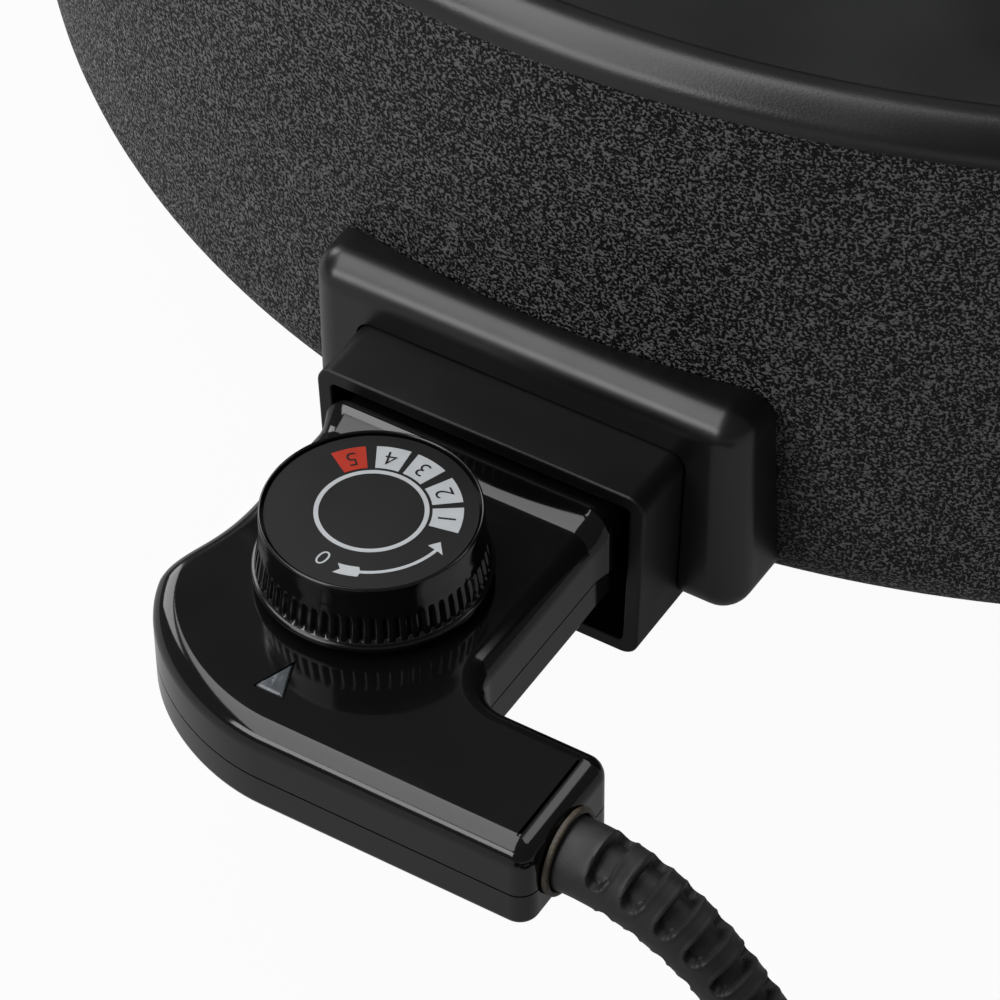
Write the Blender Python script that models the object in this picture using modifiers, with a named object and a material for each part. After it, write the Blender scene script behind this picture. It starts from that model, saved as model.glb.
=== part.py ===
"""Electric pizza pan with a plug-in thermostat, modelled piece by piece.

Units are metres, +Z is up and the pan stands on z = 0. The thermostat's socket
is at the front, on the -Y side, and +X is on the right.
"""

import math

import bmesh
import bpy
from mathutils import Matrix, Vector

# Clearances shared by every piece
GAP = 0.0003
OVERRUN = 0.002
MERGE = 0.00005

# Outer shell: hammered sheet wall with a rolled-in foot
RIM_RADIUS = 0.2021
BEAD_PROUD = 0.0006
SHELL_SHEET = 0.0012
SHELL_FOOT_RADIUS = 0.0134
SHELL_FLANGE = 0.0387
SHELL_TAPER_SHARE = 0.0768
PAN_STEPS = 60

# Cooking bowl with its rolled rim
BEAD_RADIUS = 0.0057
BOWL_DEPTH = 0.0702
BOWL_WALL = 0.0035
BOWL_FLOOR = 0.0045
BOWL_FLAT_INSET = 0.0371
BOWL_OVER_PIN = 0.00955
BOWL_CORNER_RADIUS = 0.018
RIM_SKIRT = 0.0045
BOSS_RADIUS = 0.010
BOSS_DEPTH = 0.0073
BOSS_THREAD_DEPTH = 0.0085

# Centre stud, spacer, washer and nut
STUD_RADIUS = 0.003
SPACER_RADIUS = 0.006
WASHER_RADIUS = 0.009
WASHER_THICKNESS = 0.0011
NUT_RADIUS = 0.0065
NUT_HEIGHT = 0.005
STUD_TAIL = 0.0008

# Heating element and reflector
ELEMENT_RADIUS = 0.0035
ELEMENT_INSET = 0.0901
ELEMENT_BEND_RADIUS = 0.020
ELEMENT_RISE_START = 0.016
ELEMENT_RISE_END = 0.040
REFLECTOR_MARGIN = 0.023
REFLECTOR_THICKNESS = 0.0012
REFLECTOR_SLOT_DEPTH = 0.022
REFLECTOR_SLOT_HALF = 0.024

# Probe well under the floor
WELL_HALF_WIDTH = 0.0065
WELL_SKIRT = 0.0058
WELL_TIP_GAP = 0.0021
WELL_SETBACK = 0.0067
WELL_END_WALL = 0.002

# Base cover and feet
COVER_OVERLAP = 0.022
COVER_THICKNESS = 0.0015
FOOT_HEIGHT = 0.0089
FOOT_RADIUS = 0.012
FOOT_TOP_RADIUS = 0.0128
FOOT_SETBACK = 0.014
FOOT_RECESS_RADIUS = 0.0042
FOOT_RECESS_DEPTH = 0.004
FOOT_EDGE = 0.001
FOOT_SCREW_RADIUS = 0.002
FOOT_SCREW_HEAD_RADIUS = 0.0038
FOOT_SCREW_HEAD = 0.0024
FOOT_SCREW_TAIL = 0.002
FOOT_ANGLES_DEG = (45, 135, 225, 315)

# Side handles and their screws
HANDLE_DROP = 0.023
HANDLE_SPAN = 0.110
HANDLE_REACH = 0.038
HANDLE_THICKNESS = 0.016
HANDLE_CORNER = 0.015
HANDLE_EDGE = 0.0045
GRIP_GAP_HALF = 0.034
GRIP_GAP_START = 0.007
GRIP_GAP_WIDTH = 0.017
HANDLE_SCREW_OFFSET = 0.0445
HANDLE_SCREW_RADIUS = 0.002
HANDLE_SCREW_HEAD_RADIUS = 0.0042
HANDLE_SCREW_HEAD = 0.0022
HANDLE_SCREW_BITE = 0.014

# Thermostat head, measured from the knob's axis
PIN_HEIGHT = 0.03475
HEAD_THICKNESS = 0.0161
SEAM_DROP = 0.0094
HEAD_WALL = 0.002
HEAD_FRONT = 0.0372
HEAD_LEFT = 0.0284
HEAD_RIGHT = 0.050
ARM_BACK = 0.013
ARM_CORNER = 0.0046
ARM_FILLET = 0.0065
NECK_HALF = 0.0252
NECK_LEFT_START = 0.005
NOSE_CLEARANCE = 0.0044
HEAD_TOP_ROUND = 0.0038
HEAD_BASE_ROUND = 0.0014
FRONT_CURVE_START_SHARES = (0.106, -1.0)
FRONT_CURVE_SHARES = ((-0.317, -1.0), (-0.845, -0.78), (-1.0, -0.457))
TIP_CURVE_SHARES = ((-1.032, -0.39), (-1.007, -0.309), (-0.972, -0.228))
SIDE_CURVE_SHARES = ((-0.923, -0.121), (-0.887, -0.027))

# Finger ridge across the neck
RIDGE_START = 0.0036
RIDGE_RUN = 0.0042
RIDGE_LAND = 0.0013
RIDGE_HEIGHT = 0.0027
RIDGE_OVERHANG = 0.0007
RIDGE_SINK = 0.0012
RIDGE_SHARES = ((0.0, 0.0), (0.35, 0.10), (0.65, 0.34), (0.86, 0.68), (1.0, 1.0))

# Shell screws of the thermostat
CASE_SCREW_RADIUS = 0.0014
CASE_SCREW_HEAD_RADIUS = 0.0027
CASE_SCREW_HEAD = 0.002
CASE_SCREW_SINK = 0.0003
CASE_SCREW_CAP = 0.003
CASE_BOSS_RADIUS = 0.0035
CASE_FOOT_BOSS_RADIUS = 0.0045
TIP_SCREW_X = -0.0175
TIP_SCREW_Y = -0.015
ARM_SCREW_X = 0.027
ARM_SCREW_Y = -0.023
NECK_SCREW_X = 0.0165
NECK_SCREW_Y = 0.027

# Knob, dial and spindle
KNOB_CLEARANCE = 0.0017
KNOB_HEIGHT = 0.012
KNOB_RADIUS = 0.0171
KNOB_FLANGE_RADIUS = 0.0185
KNOB_FLANGE = 0.001
KNOB_LIP = 0.0005
KNOB_LIP_WIDTH = 0.0005
KNOB_SHOULDER = 0.0008
KNOB_HOLLOW_RADIUS = 0.0145
KNOB_HOLLOW_DEPTH = 0.008
KNOB_HUB_RADIUS = 0.0055
FLUTE_COUNT = 42
FLUTE_DEPTH = 0.0007
FLUTE_RADIUS = 0.0180
FLUTE_HEIGHT = 0.0052
FLUTE_ROOT = 0.0012
DIAL_THICKNESS = 0.0006
SPINDLE_RADIUS = 0.003
SPINDLE_SOCKET_DEPTH = 0.0075
SPINDLE_FOOT_RISE = 0.0008

# Pilot lens and lamp
LENS_TIP = 0.0223
LENS_BASE = 0.0288
LENS_HALF = 0.0024
LENS_PROUD = 0.0002
LENS_DEPTH = 0.0034
LAMP_RADIUS = 0.0022
LAMP_LENGTH = 0.009

# Switch inside the head
BRACKET_HALF = 0.009
BRACKET_FRONT = -0.012
BRACKET_BACK = 0.0215
BRACKET_DROP = 0.00105
BRACKET_PLATE = 0.001
BRACKET_LEG = 0.0012
PUSHER_RADIUS = 0.0013
BLADE_HALF = 0.003
BLADE_THICKNESS = 0.0005
BLADE_TIP = -0.008
STACK_FRONT = 0.012
STACK_BACK = 0.0198
STACK_HALF = 0.0045

# Nose contacts, probe and their block
LINE_PIN_X = 0.017
EARTH_PIN_X = 0.0085
PIN_RADIUS = 0.0025
PIN_ENTRY = 0.012
PIN_COLLAR_RADIUS = 0.004
PIN_COLLAR = 0.0014
PIN_TAIL = 0.0013
PIN_POINT = 0.001
CONTACT_WALL = 0.0006
CONTACT_LENGTH = 0.0155
BLOCK_BACK_GAP = 0.0018
BLOCK_LENGTH = 0.010
PROBE_RADIUS = 0.003
PROBE_INSIDE = 0.030
PROBE_REACH = 0.074
PROBE_POINT = 0.0015

# Cord clamp, gland ring and boot
CLAMP_START = 0.0335
CLAMP_LENGTH = 0.007
CLAMP_HALF = 0.0065
CORD_EXIT_Y = -0.0267
BOOT_RADIUS = 0.0059
BOOT_END_RADIUS = 0.0046
BOOT_TAIL_RADIUS = 0.0036
BOOT_INNER_RADIUS = 0.0054
BOOT_LENGTH = 0.046
BOOT_COLLAR = 0.006
BOOT_GROOVE_COUNT = 6
BOOT_GROOVE_DEPTH = 0.0009
BOOT_GROOVE_SHARES = (0.0, 0.12, 0.50, 0.62)
BOOT_TIP = 0.004
RING_OUTER_RADIUS = 0.0071
RING_THICKNESS = 0.0009

# Socket on the pan
PLINTH_DEPTH = 0.008
PLINTH_HALF = 0.0404
PLINTH_RISE = 0.02255
PLINTH_DROP = 0.0212
PLINTH_ROUND = 0.0045
SLEEVE_REACH = 0.01205
SLEEVE_HALF = 0.02995
SLEEVE_RISE = 0.01235
SLEEVE_DROP = 0.02235
SLEEVE_DRAFT = 0.001
SLEEVE_WALL = 0.0027
SLEEVE_TAIL = 0.012
SLEEVE_CORNER = 0.003
MOUTH_CORNER = 0.0006
MOUTH_GAP = 0.00245
CARRIER_THICKNESS = 0.005
SOCKET_SCREW_X = 0.0352
SOCKET_SCREW_RISE = 0.00625
SOCKET_SCREW_RADIUS = 0.0018
SOCKET_SCREW_HEAD_RADIUS = 0.0036
SOCKET_SCREW_HEAD = 0.002
SOCKET_SCREW_CAP = 0.0028

# Cord, coil and plug
CORD_RADIUS = 0.0035
CORD_REST_GAP = 0.0003
CORD_ROUTE = (
    (0.0003, 0.0, 0.03475),
    (0.0060, 0.0, 0.03460),
    (0.0140, -0.00005, 0.03270),
    (0.0220, -0.00015, 0.02830),
    (0.0290, -0.0003, 0.02230),
    (0.0360, -0.0005, 0.01550),
    (0.0430, -0.0007, 0.00980),
    (0.0510, -0.0008, 0.00560),
    (0.0600, -0.0009, 0.00395),
    (0.0690, -0.0009, 0.00380),
)
ROUTE_STEPS = 24
COIL_TURNS_PER_LAYER = 2.25
COIL_MIDDLE_RADIUS = 0.0375
COIL_PITCH = 0.0077
COIL_POINTS_PER_TURN = 24
COIL_RISE_TURNS = 0.25
COIL_CLIMB_TURNS = 0.5
PLUG_RADIUS = 0.0175
PLUG_BODY_LENGTH = 0.028
PLUG_TAPER_LENGTH = 0.014
PLUG_NECK_LENGTH = 0.018
PLUG_WAIST_RADIUS = 0.010
PLUG_NECK_RADIUS = 0.0055
PLUG_TAIL_RADIUS = 0.0042
PLUG_EDGE = 0.002
PLUG_PIN_RADIUS = 0.0024
PLUG_PIN_LENGTH = 0.019
PLUG_PIN_OFFSET = 0.0095
PLUG_PIN_SOCKET = 0.004

# Smoothness of round pieces
SCREW_SIDES = 10
PIN_SIDES = 12
RING_SIDES = 20
ELEMENT_POINTS = 28
TUBE_RESOLUTION = 2
COIL_RESOLUTION = 1
SHARP_ANGLE_DEG = 35

# Levels and places worked out from the sizes above
SHELL_BASE_Z = FOOT_HEIGHT + GAP
FLOOR_UNDER_Z = PIN_HEIGHT + BOWL_OVER_PIN
FLOOR_Z = FLOOR_UNDER_Z + BOWL_FLOOR
RIM_TOP_Z = FLOOR_Z + BOWL_DEPTH
BEAD_Z = RIM_TOP_Z - BEAD_RADIUS
SHELL_TOP_Z = BEAD_Z - GAP
HANDLE_HEIGHT = SHELL_TOP_Z - HANDLE_DROP
SHELL_TOP_RADIUS = RIM_RADIUS - BEAD_PROUD
SHELL_OPENING_RADIUS = RIM_RADIUS - SHELL_FOOT_RADIUS - SHELL_FLANGE
BOWL_FLAT_RADIUS = RIM_RADIUS - BOWL_FLAT_INSET
COVER_RADIUS = SHELL_OPENING_RADIUS + COVER_OVERLAP
FOOT_CIRCLE_RADIUS = SHELL_OPENING_RADIUS + FOOT_SETBACK
ELEMENT_RING_RADIUS = RIM_RADIUS - ELEMENT_INSET
REFLECTOR_RADIUS = ELEMENT_RING_RADIUS + REFLECTOR_MARGIN
SHELL_FOOT_Z = SHELL_BASE_Z + SHELL_FOOT_RADIUS
COVER_Z = SHELL_BASE_Z + SHELL_SHEET + GAP
ELEMENT_Z = FLOOR_UNDER_Z - GAP - ELEMENT_RADIUS
REFLECTOR_TOP_Z = ELEMENT_Z - ELEMENT_RADIUS - GAP
BOSS_UNDER_Z = FLOOR_UNDER_Z - BOSS_DEPTH

HEAD_TOP_Z = PIN_HEIGHT + HEAD_THICKNESS / 2
HEAD_BASE_Z = PIN_HEIGHT - HEAD_THICKNESS / 2
SEAM_Z = HEAD_TOP_Z - SEAM_DROP
CAVITY_TOP_Z = HEAD_TOP_Z - HEAD_WALL
CAVITY_BASE_Z = HEAD_BASE_Z + HEAD_WALL
KNOB_BASE_Z = HEAD_TOP_Z + KNOB_CLEARANCE
KNOB_TOP_Z = KNOB_BASE_Z + KNOB_HEIGHT
SWITCH_BASE_Z = CAVITY_BASE_Z + GAP
BRACKET_TOP_HEIGHT = PIN_HEIGHT - BRACKET_DROP
SPINDLE_FOOT_HEIGHT = BRACKET_TOP_HEIGHT + SPINDLE_FOOT_RISE
PLINTH_TOP_HEIGHT = PIN_HEIGHT + PLINTH_RISE
PLINTH_BASE_HEIGHT = PIN_HEIGHT - PLINTH_DROP
SLEEVE_TOP_HEIGHT = PIN_HEIGHT + SLEEVE_RISE
SLEEVE_BASE_HEIGHT = PIN_HEIGHT - SLEEVE_DROP
SOCKET_SCREW_HEIGHT = PIN_HEIGHT + SOCKET_SCREW_RISE
STACK_TOP_Z = BRACKET_TOP_HEIGHT - BRACKET_PLATE - GAP
BLADE_Z = (SWITCH_BASE_Z + STACK_TOP_Z) / 2


def shell_radius(height):
    """Outer radius of the hammered wall at a height."""
    if height >= SHELL_FOOT_Z:
        return SHELL_TOP_RADIUS - SHELL_TAPER_SHARE * (SHELL_TOP_Z - height)
    across = shell_radius(SHELL_FOOT_Z) - SHELL_FOOT_RADIUS
    drop = min(SHELL_FOOT_Z - height, SHELL_FOOT_RADIUS)
    return across + math.sqrt(SHELL_FOOT_RADIUS**2 - drop**2)


RIDGE_FOOT = KNOB_FLANGE_RADIUS + RIDGE_START
RIDGE_CREST = RIDGE_FOOT + RIDGE_RUN
RIDGE_BACK = RIDGE_CREST + RIDGE_LAND
KNOB_TO_PLINTH = RIDGE_BACK + MOUTH_GAP + SLEEVE_REACH
NOSE_REACH = KNOB_TO_PLINTH + SLEEVE_TAIL + GAP - NOSE_CLEARANCE
PLINTH_FACE = shell_radius(PIN_HEIGHT) + GAP + PLINTH_DEPTH
KNOB_DISTANCE = PLINTH_FACE + KNOB_TO_PLINTH
PAN_Y = (KNOB_DISTANCE + HEAD_FRONT - RIM_RADIUS) / 2
KNOB_Y = PAN_Y - KNOB_DISTANCE
SLEEVE_MOUTH_Y = PAN_Y - PLINTH_FACE - SLEEVE_REACH
SLEEVE_BACK_Y = PAN_Y - PLINTH_FACE + SLEEVE_TAIL
CARRIER_Y = SLEEVE_BACK_Y + GAP
NOSE_Y = KNOB_Y + NOSE_REACH
WELL_Y = CARRIER_Y + CARRIER_THICKNESS + WELL_SETBACK
PROBE_TIP_Y = NOSE_Y + PROBE_REACH
WELL_LENGTH = PROBE_TIP_Y + WELL_TIP_GAP + WELL_END_WALL - WELL_Y


def clear_scene():
    """Start from an empty file, whatever was open."""
    for item in list(bpy.data.objects):
        bpy.data.objects.remove(item)


def new_collection(name):
    """A collection under the scene's root."""
    collection = bpy.data.collections.new(name)
    bpy.context.scene.collection.children.link(collection)
    return collection


def finish(name, colour, roughness, metallic=0.0, transmission=0.0):
    """A Principled material."""
    material = bpy.data.materials.new(name)
    material.use_nodes = True
    shader = material.node_tree.nodes["Principled BSDF"]
    shader.inputs["Base Color"].default_value = (*colour, 1.0)
    shader.inputs["Roughness"].default_value = roughness
    shader.inputs["Metallic"].default_value = metallic
    shader.inputs["Transmission Weight"].default_value = transmission
    return material


class Shop:
    """Collections and finishes that the pieces are made with."""

    def __init__(self):
        self.parts = new_collection("electric_pizza_pan")
        self.cutters = new_collection("cutters")
        self.hammered = finish("hammered_black", (0.045, 0.045, 0.047), 0.42, 0.3)
        self.coating = finish("nonstick_coating", (0.020, 0.021, 0.023), 0.38, 0.2)
        self.satin = finish("satin_black", (0.022, 0.022, 0.024), 0.35)
        self.matte = finish("matte_black", (0.018, 0.018, 0.019), 0.55)
        self.gloss = finish("gloss_black", (0.008, 0.008, 0.009), 0.08)
        self.rubber = finish("black_rubber", (0.025, 0.025, 0.026), 0.7)
        self.steel = finish("steel", (0.60, 0.60, 0.61), 0.3, 1.0)
        self.plated = finish("plated_steel", (0.50, 0.51, 0.52), 0.38, 1.0)
        self.aluminium = finish("cast_aluminium", (0.62, 0.63, 0.64), 0.45, 1.0)
        self.brass = finish("brass", (0.72, 0.55, 0.26), 0.35, 1.0)
        self.ceramic = finish("ceramic", (0.82, 0.80, 0.74), 0.5)
        self.phenolic = finish("brown_phenolic", (0.12, 0.07, 0.04), 0.5)
        self.lens = finish("clear_lens", (0.75, 0.78, 0.82), 0.1, 0.0, 0.8)
        self.glass = finish("lamp_glass", (0.9, 0.55, 0.35), 0.1, 0.0, 0.6)

    def add(self, name, mesh, place, material, parent=None):
        """Put a mesh into the model as a named piece."""
        piece = bpy.data.objects.new(name, mesh)
        self.parts.objects.link(piece)
        mesh.materials.append(material)
        piece.location = place
        smooth(mesh)
        if parent:
            hang(piece, parent)
        return piece

    def cutter(self, name, mesh, place):
        """Put a mesh into the model as a tool that only shapes other pieces."""
        tool = bpy.data.objects.new(name, mesh)
        self.cutters.objects.link(tool)
        tool.location = place
        tool.hide_render = True
        tool.display_type = "WIRE"
        return tool

    def pivot(self, name, place, parent=None):
        """An empty on a joint's axis."""
        empty = bpy.data.objects.new(name, None)
        self.parts.objects.link(empty)
        empty.empty_display_size = BOSS_RADIUS
        empty.location = place
        if parent:
            hang(empty, parent)
        return empty


def world_place(item):
    """Where an unturned object's origin is in the world."""
    place = Matrix.Translation(item.location)
    if item.parent:
        place = world_place(item.parent) @ item.matrix_parent_inverse @ place
    return place


def hang(piece, parent):
    """Parent a piece and keep it where it is."""
    piece.parent = parent
    piece.matrix_parent_inverse = world_place(parent).inverted()


def smooth(mesh):
    """Shade round faces smooth and keep real edges sharp."""
    mesh.shade_smooth()
    mesh.set_sharp_from_angle(angle=math.radians(SHARP_ANGLE_DEG))


def mesh_of(bm, name):
    """Write a bmesh to a new mesh."""
    mesh = bpy.data.meshes.new(name)
    bm.to_mesh(mesh)
    bm.free()
    return mesh


def arc(centre, radius, start_deg, end_deg, count):
    """Points on an arc, both ends included."""
    points = []
    for step in range(count + 1):
        angle = math.radians(start_deg + (end_deg - start_deg) * step / count)
        points.append((centre[0] + radius * math.cos(angle), centre[1] + radius * math.sin(angle)))
    return points


def bezier(start, first, second, end, count):
    """Points on a cubic curve, without its start."""
    points = []
    for step in range(1, count + 1):
        t = step / count
        weights = ((1 - t) ** 3, 3 * t * (1 - t) ** 2, 3 * t * t * (1 - t), t**3)
        corners = (start, first, second, end)
        x = sum(weight * corner[0] for weight, corner in zip(weights, corners))
        y = sum(weight * corner[1] for weight, corner in zip(weights, corners))
        points.append((x, y))
    return points


def rounded_rectangle(low, high, radius, count=4):
    """Outline of a rectangle with round corners, counterclockwise."""
    points = []
    points += arc((high[0] - radius, low[1] + radius), radius, -90, 0, count)
    points += arc((high[0] - radius, high[1] - radius), radius, 0, 90, count)
    points += arc((low[0] + radius, high[1] - radius), radius, 90, 180, count)
    points += arc((low[0] + radius, low[1] + radius), radius, 180, 270, count)
    return points


def inset(outline, distance):
    """Move a counterclockwise outline inwards by a distance."""
    moved = []
    for index, point in enumerate(outline):
        before = Vector(outline[index - 1])
        after = Vector(outline[(index + 1) % len(outline)])
        here = Vector(point)
        first = (here - before).normalized()
        second = (after - here).normalized()
        normal = Vector((-(first.y + second.y), first.x + second.x)).normalized()
        lean = max(normal.dot(Vector((-first.y, first.x))), 0.5)
        moved.append(tuple(here + normal * distance / lean))
    return moved


def turned(name, profile, steps, closed=False):
    """A profile of radius and height turned once about Z by a Screw modifier's own steps."""
    mesh = bpy.data.meshes.new(name)
    edges = [(index, index + 1) for index in range(len(profile) - 1)]
    if closed:
        edges.append((len(profile) - 1, 0))
    mesh.from_pydata([(radius, 0.0, height) for radius, height in profile], edges, [])
    return mesh, steps


def add_screw(piece, steps):
    """Turn the piece's profile into a solid."""
    screw = piece.modifiers.new("turn", "SCREW")
    screw.axis = "Z"
    screw.angle = math.tau
    screw.steps = steps
    screw.render_steps = steps
    screw.use_merge_vertices = True
    screw.merge_threshold = MERGE
    screw.use_smooth_shade = True
    return piece


def turn_piece(shop, name, profile, place, material, steps, closed=False, parent=None):
    """A turned piece standing on its axis."""
    mesh, steps = turned(name, profile, steps, closed)
    piece = shop.add(name, mesh, place, material, parent)
    return add_screw(piece, steps)


def turn_cutter(shop, name, profile, place, steps):
    """A turned cutter standing on its axis."""
    mesh, steps = turned(name, profile, steps)
    return add_screw(shop.cutter(name, mesh, place), steps)


def rod_mesh(name, radius, length, axis, sides):
    """A cylinder that starts at the origin and runs along an axis."""
    bm = bmesh.new()
    bmesh.ops.create_cone(
        bm, cap_ends=True, segments=sides, radius1=radius, radius2=radius, depth=length
    )
    bmesh.ops.translate(bm, verts=bm.verts, vec=(0, 0, length / 2))
    turns = {
        "X": Matrix.Rotation(math.pi / 2, 3, "Y"),
        "Y": Matrix.Rotation(-math.pi / 2, 3, "X"),
        "Z": Matrix.Identity(3),
    }
    bmesh.ops.rotate(bm, verts=bm.verts, cent=(0, 0, 0), matrix=turns[axis])
    return mesh_of(bm, name)


def block_mesh(name, size, round_radius=0.0, segments=3):
    """A box about the origin, with its edges rounded if a radius is given."""
    bm = bmesh.new()
    bmesh.ops.create_cube(bm, size=1.0)
    bmesh.ops.scale(bm, vec=size, verts=bm.verts)
    if round_radius:
        bmesh.ops.bevel(
            bm,
            geom=bm.edges[:],
            offset=round_radius,
            segments=segments,
            profile=0.5,
            affect="EDGES",
        )
    return mesh_of(bm, name)


def box_between(low, high):
    """Size and centre of a box from its corners."""
    size = tuple(high[axis] - low[axis] for axis in range(3))
    centre = tuple((high[axis] + low[axis]) / 2 for axis in range(3))
    return size, centre


def plate_mesh(name, outlines, thickness):
    """A flat outline, with any holes, extruded from z = 0 upwards."""
    curve = bpy.data.curves.new(name, "CURVE")
    curve.dimensions = "2D"
    curve.fill_mode = "BOTH"
    curve.extrude = thickness / 2
    for outline in outlines:
        spline = curve.splines.new("POLY")
        spline.points.add(len(outline) - 1)
        for point, place in zip(spline.points, outline):
            point.co = (place[0], place[1], 0.0, 1.0)
        spline.use_cyclic_u = True
    holder = bpy.data.objects.new(name, curve)
    bpy.context.scene.collection.objects.link(holder)
    graph = bpy.context.evaluated_depsgraph_get()
    mesh = bpy.data.meshes.new_from_object(holder.evaluated_get(graph))
    bpy.data.objects.remove(holder)
    bpy.data.curves.remove(curve)
    bm = bmesh.new()
    bm.from_mesh(mesh)
    bmesh.ops.remove_doubles(bm, verts=bm.verts, dist=MERGE)
    bmesh.ops.dissolve_limit(
        bm, angle_limit=math.radians(0.5), verts=bm.verts, edges=bm.edges
    )
    bmesh.ops.recalc_face_normals(bm, faces=bm.faces)
    bmesh.ops.translate(bm, verts=bm.verts, vec=(0, 0, thickness / 2))
    bm.to_mesh(mesh)
    bm.free()
    mesh.name = name
    return mesh


def round_rim(mesh, height, radius, segments):
    """Round the edges of a plate's face that lies at a height."""
    bm = bmesh.new()
    bm.from_mesh(mesh)
    rim = [
        edge
        for edge in bm.edges
        if all(abs(vert.co.z - height) < MERGE for vert in edge.verts)
    ]
    bmesh.ops.bevel(
        bm, geom=rim, offset=radius, segments=segments, profile=0.5, affect="EDGES"
    )
    bm.to_mesh(mesh)
    bm.free()


def tube(shop, name, points, radius, material, resolution, parent=None, shares=None):
    """A round tube along a line of points, with filled ends; shares scale its radius."""
    curve = bpy.data.curves.new(name, "CURVE")
    curve.dimensions = "3D"
    curve.bevel_depth = radius
    curve.bevel_resolution = resolution
    curve.use_fill_caps = True
    spline = curve.splines.new("POLY")
    spline.points.add(len(points) - 1)
    for index, (point, place) in enumerate(zip(spline.points, points)):
        point.co = (*place, 1.0)
        if shares:
            point.radius = shares[index]
    curve.materials.append(material)
    piece = bpy.data.objects.new(name, curve)
    shop.parts.objects.link(piece)
    if parent:
        hang(piece, parent)
    return piece


def combine(piece, tool, operation):
    """Join a tool to a piece or cut it out of the piece."""
    step = piece.modifiers.new(tool.name, "BOOLEAN")
    step.operation = operation
    step.object = tool
    step.solver = "EXACT"


def cut(piece, tool):
    """Cut a tool out of a piece."""
    combine(piece, tool, "DIFFERENCE")


def join(piece, tool):
    """Join a tool to a piece."""
    combine(piece, tool, "UNION")


def smooth_line(route, spacing):
    """A smooth curve through hand-chosen points, read at even steps."""
    ends = [2 * Vector(route[0]) - Vector(route[1]), 2 * Vector(route[-1]) - Vector(route[-2])]
    knots = [ends[0]] + [Vector(point) for point in route] + [ends[1]]
    fine = []
    for index in range(1, len(knots) - 2):
        before, here, after, beyond = knots[index - 1 : index + 3]
        for step in range(ROUTE_STEPS):
            t = step / ROUTE_STEPS
            fine.append(
                0.5
                * (
                    2 * here
                    + (after - before) * t
                    + (2 * before - 5 * here + 4 * after - beyond) * t**2
                    + (3 * here - before - 3 * after + beyond) * t**3
                )
            )
    fine.append(knots[-2])
    return read_evenly(fine, spacing)


def read_evenly(line, spacing):
    """Points a spacing apart along a line, both ends included."""
    lengths = [0.0]
    for first, second in zip(line, line[1:]):
        lengths.append(lengths[-1] + (second - first).length)
    count = max(round(lengths[-1] / spacing), 1)
    points = []
    index = 0
    for step in range(count + 1):
        wanted = lengths[-1] * step / count
        while index < len(line) - 2 and lengths[index + 1] < wanted:
            index += 1
        part = (wanted - lengths[index]) / (lengths[index + 1] - lengths[index])
        points.append(line[index].lerp(line[index + 1], min(max(part, 0.0), 1.0)))
    return points


def line_length(points):
    """Length of a line of points."""
    return sum((second - first).length for first, second in zip(points, points[1:]))


def take_length(points, start, end):
    """The stretch of a line between two distances along it."""
    taken = []
    along = 0.0
    for first, second in zip(points, points[1:]):
        step = (second - first).length
        for mark in (start, end):
            if along <= mark < along + step:
                taken.append((mark, first.lerp(second, (mark - along) / step)))
        along += step
        if start < along < end:
            taken.append((along, second.copy()))
    taken.sort(key=lambda entry: entry[0])
    return [point for _, point in taken]


def shell_profile(growth):
    """Outer line of the wall from the top down to the flat foot, grown outwards."""
    centre = (shell_radius(SHELL_FOOT_Z) - SHELL_FOOT_RADIUS, SHELL_FOOT_Z)
    line = [(SHELL_TOP_RADIUS + growth, SHELL_TOP_Z)]
    line += arc(centre, SHELL_FOOT_RADIUS + growth, 0, -90, 4)
    return line


def shell_tool(shop, name):
    """A solid of the shell's outer form plus the gap, for what stands against the wall."""
    line = shell_profile(GAP)
    profile = [(0.0, RIM_TOP_Z), (line[0][0], RIM_TOP_Z)] + line + [(0.0, line[-1][1])]
    return turn_cutter(shop, name, profile, (0, PAN_Y, 0), PAN_STEPS)


def head_outline():
    """Plan of the thermostat head about the knob's axis, counterclockwise."""

    def place(shares):
        return (shares[0] * HEAD_LEFT, shares[1] * HEAD_FRONT)

    start = place(FRONT_CURVE_START_SHARES)
    first = [place(shares) for shares in FRONT_CURVE_SHARES]
    second = [place(shares) for shares in TIP_CURVE_SHARES]
    third = [place(shares) for shares in SIDE_CURVE_SHARES]
    left_side = (-NECK_HALF, NECK_LEFT_START)
    left = [start]
    left += bezier(start, *first, 8)
    left += bezier(first[-1], *second, 3)
    left += bezier(second[-1], *third, left_side, 4)
    left.append((-NECK_HALF, NOSE_REACH))
    right = [(NECK_HALF, NOSE_REACH)]
    right += arc((NECK_HALF + ARM_FILLET, -ARM_BACK + ARM_FILLET), ARM_FILLET, 180, 270, 4)
    right += arc((HEAD_RIGHT - ARM_CORNER, -ARM_BACK - ARM_CORNER), ARM_CORNER, 90, 0, 3)
    right += arc((HEAD_RIGHT - ARM_CORNER, -HEAD_FRONT + ARM_CORNER), ARM_CORNER, 0, -90, 3)
    outline = left + right
    outline.reverse()
    return outline


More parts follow.
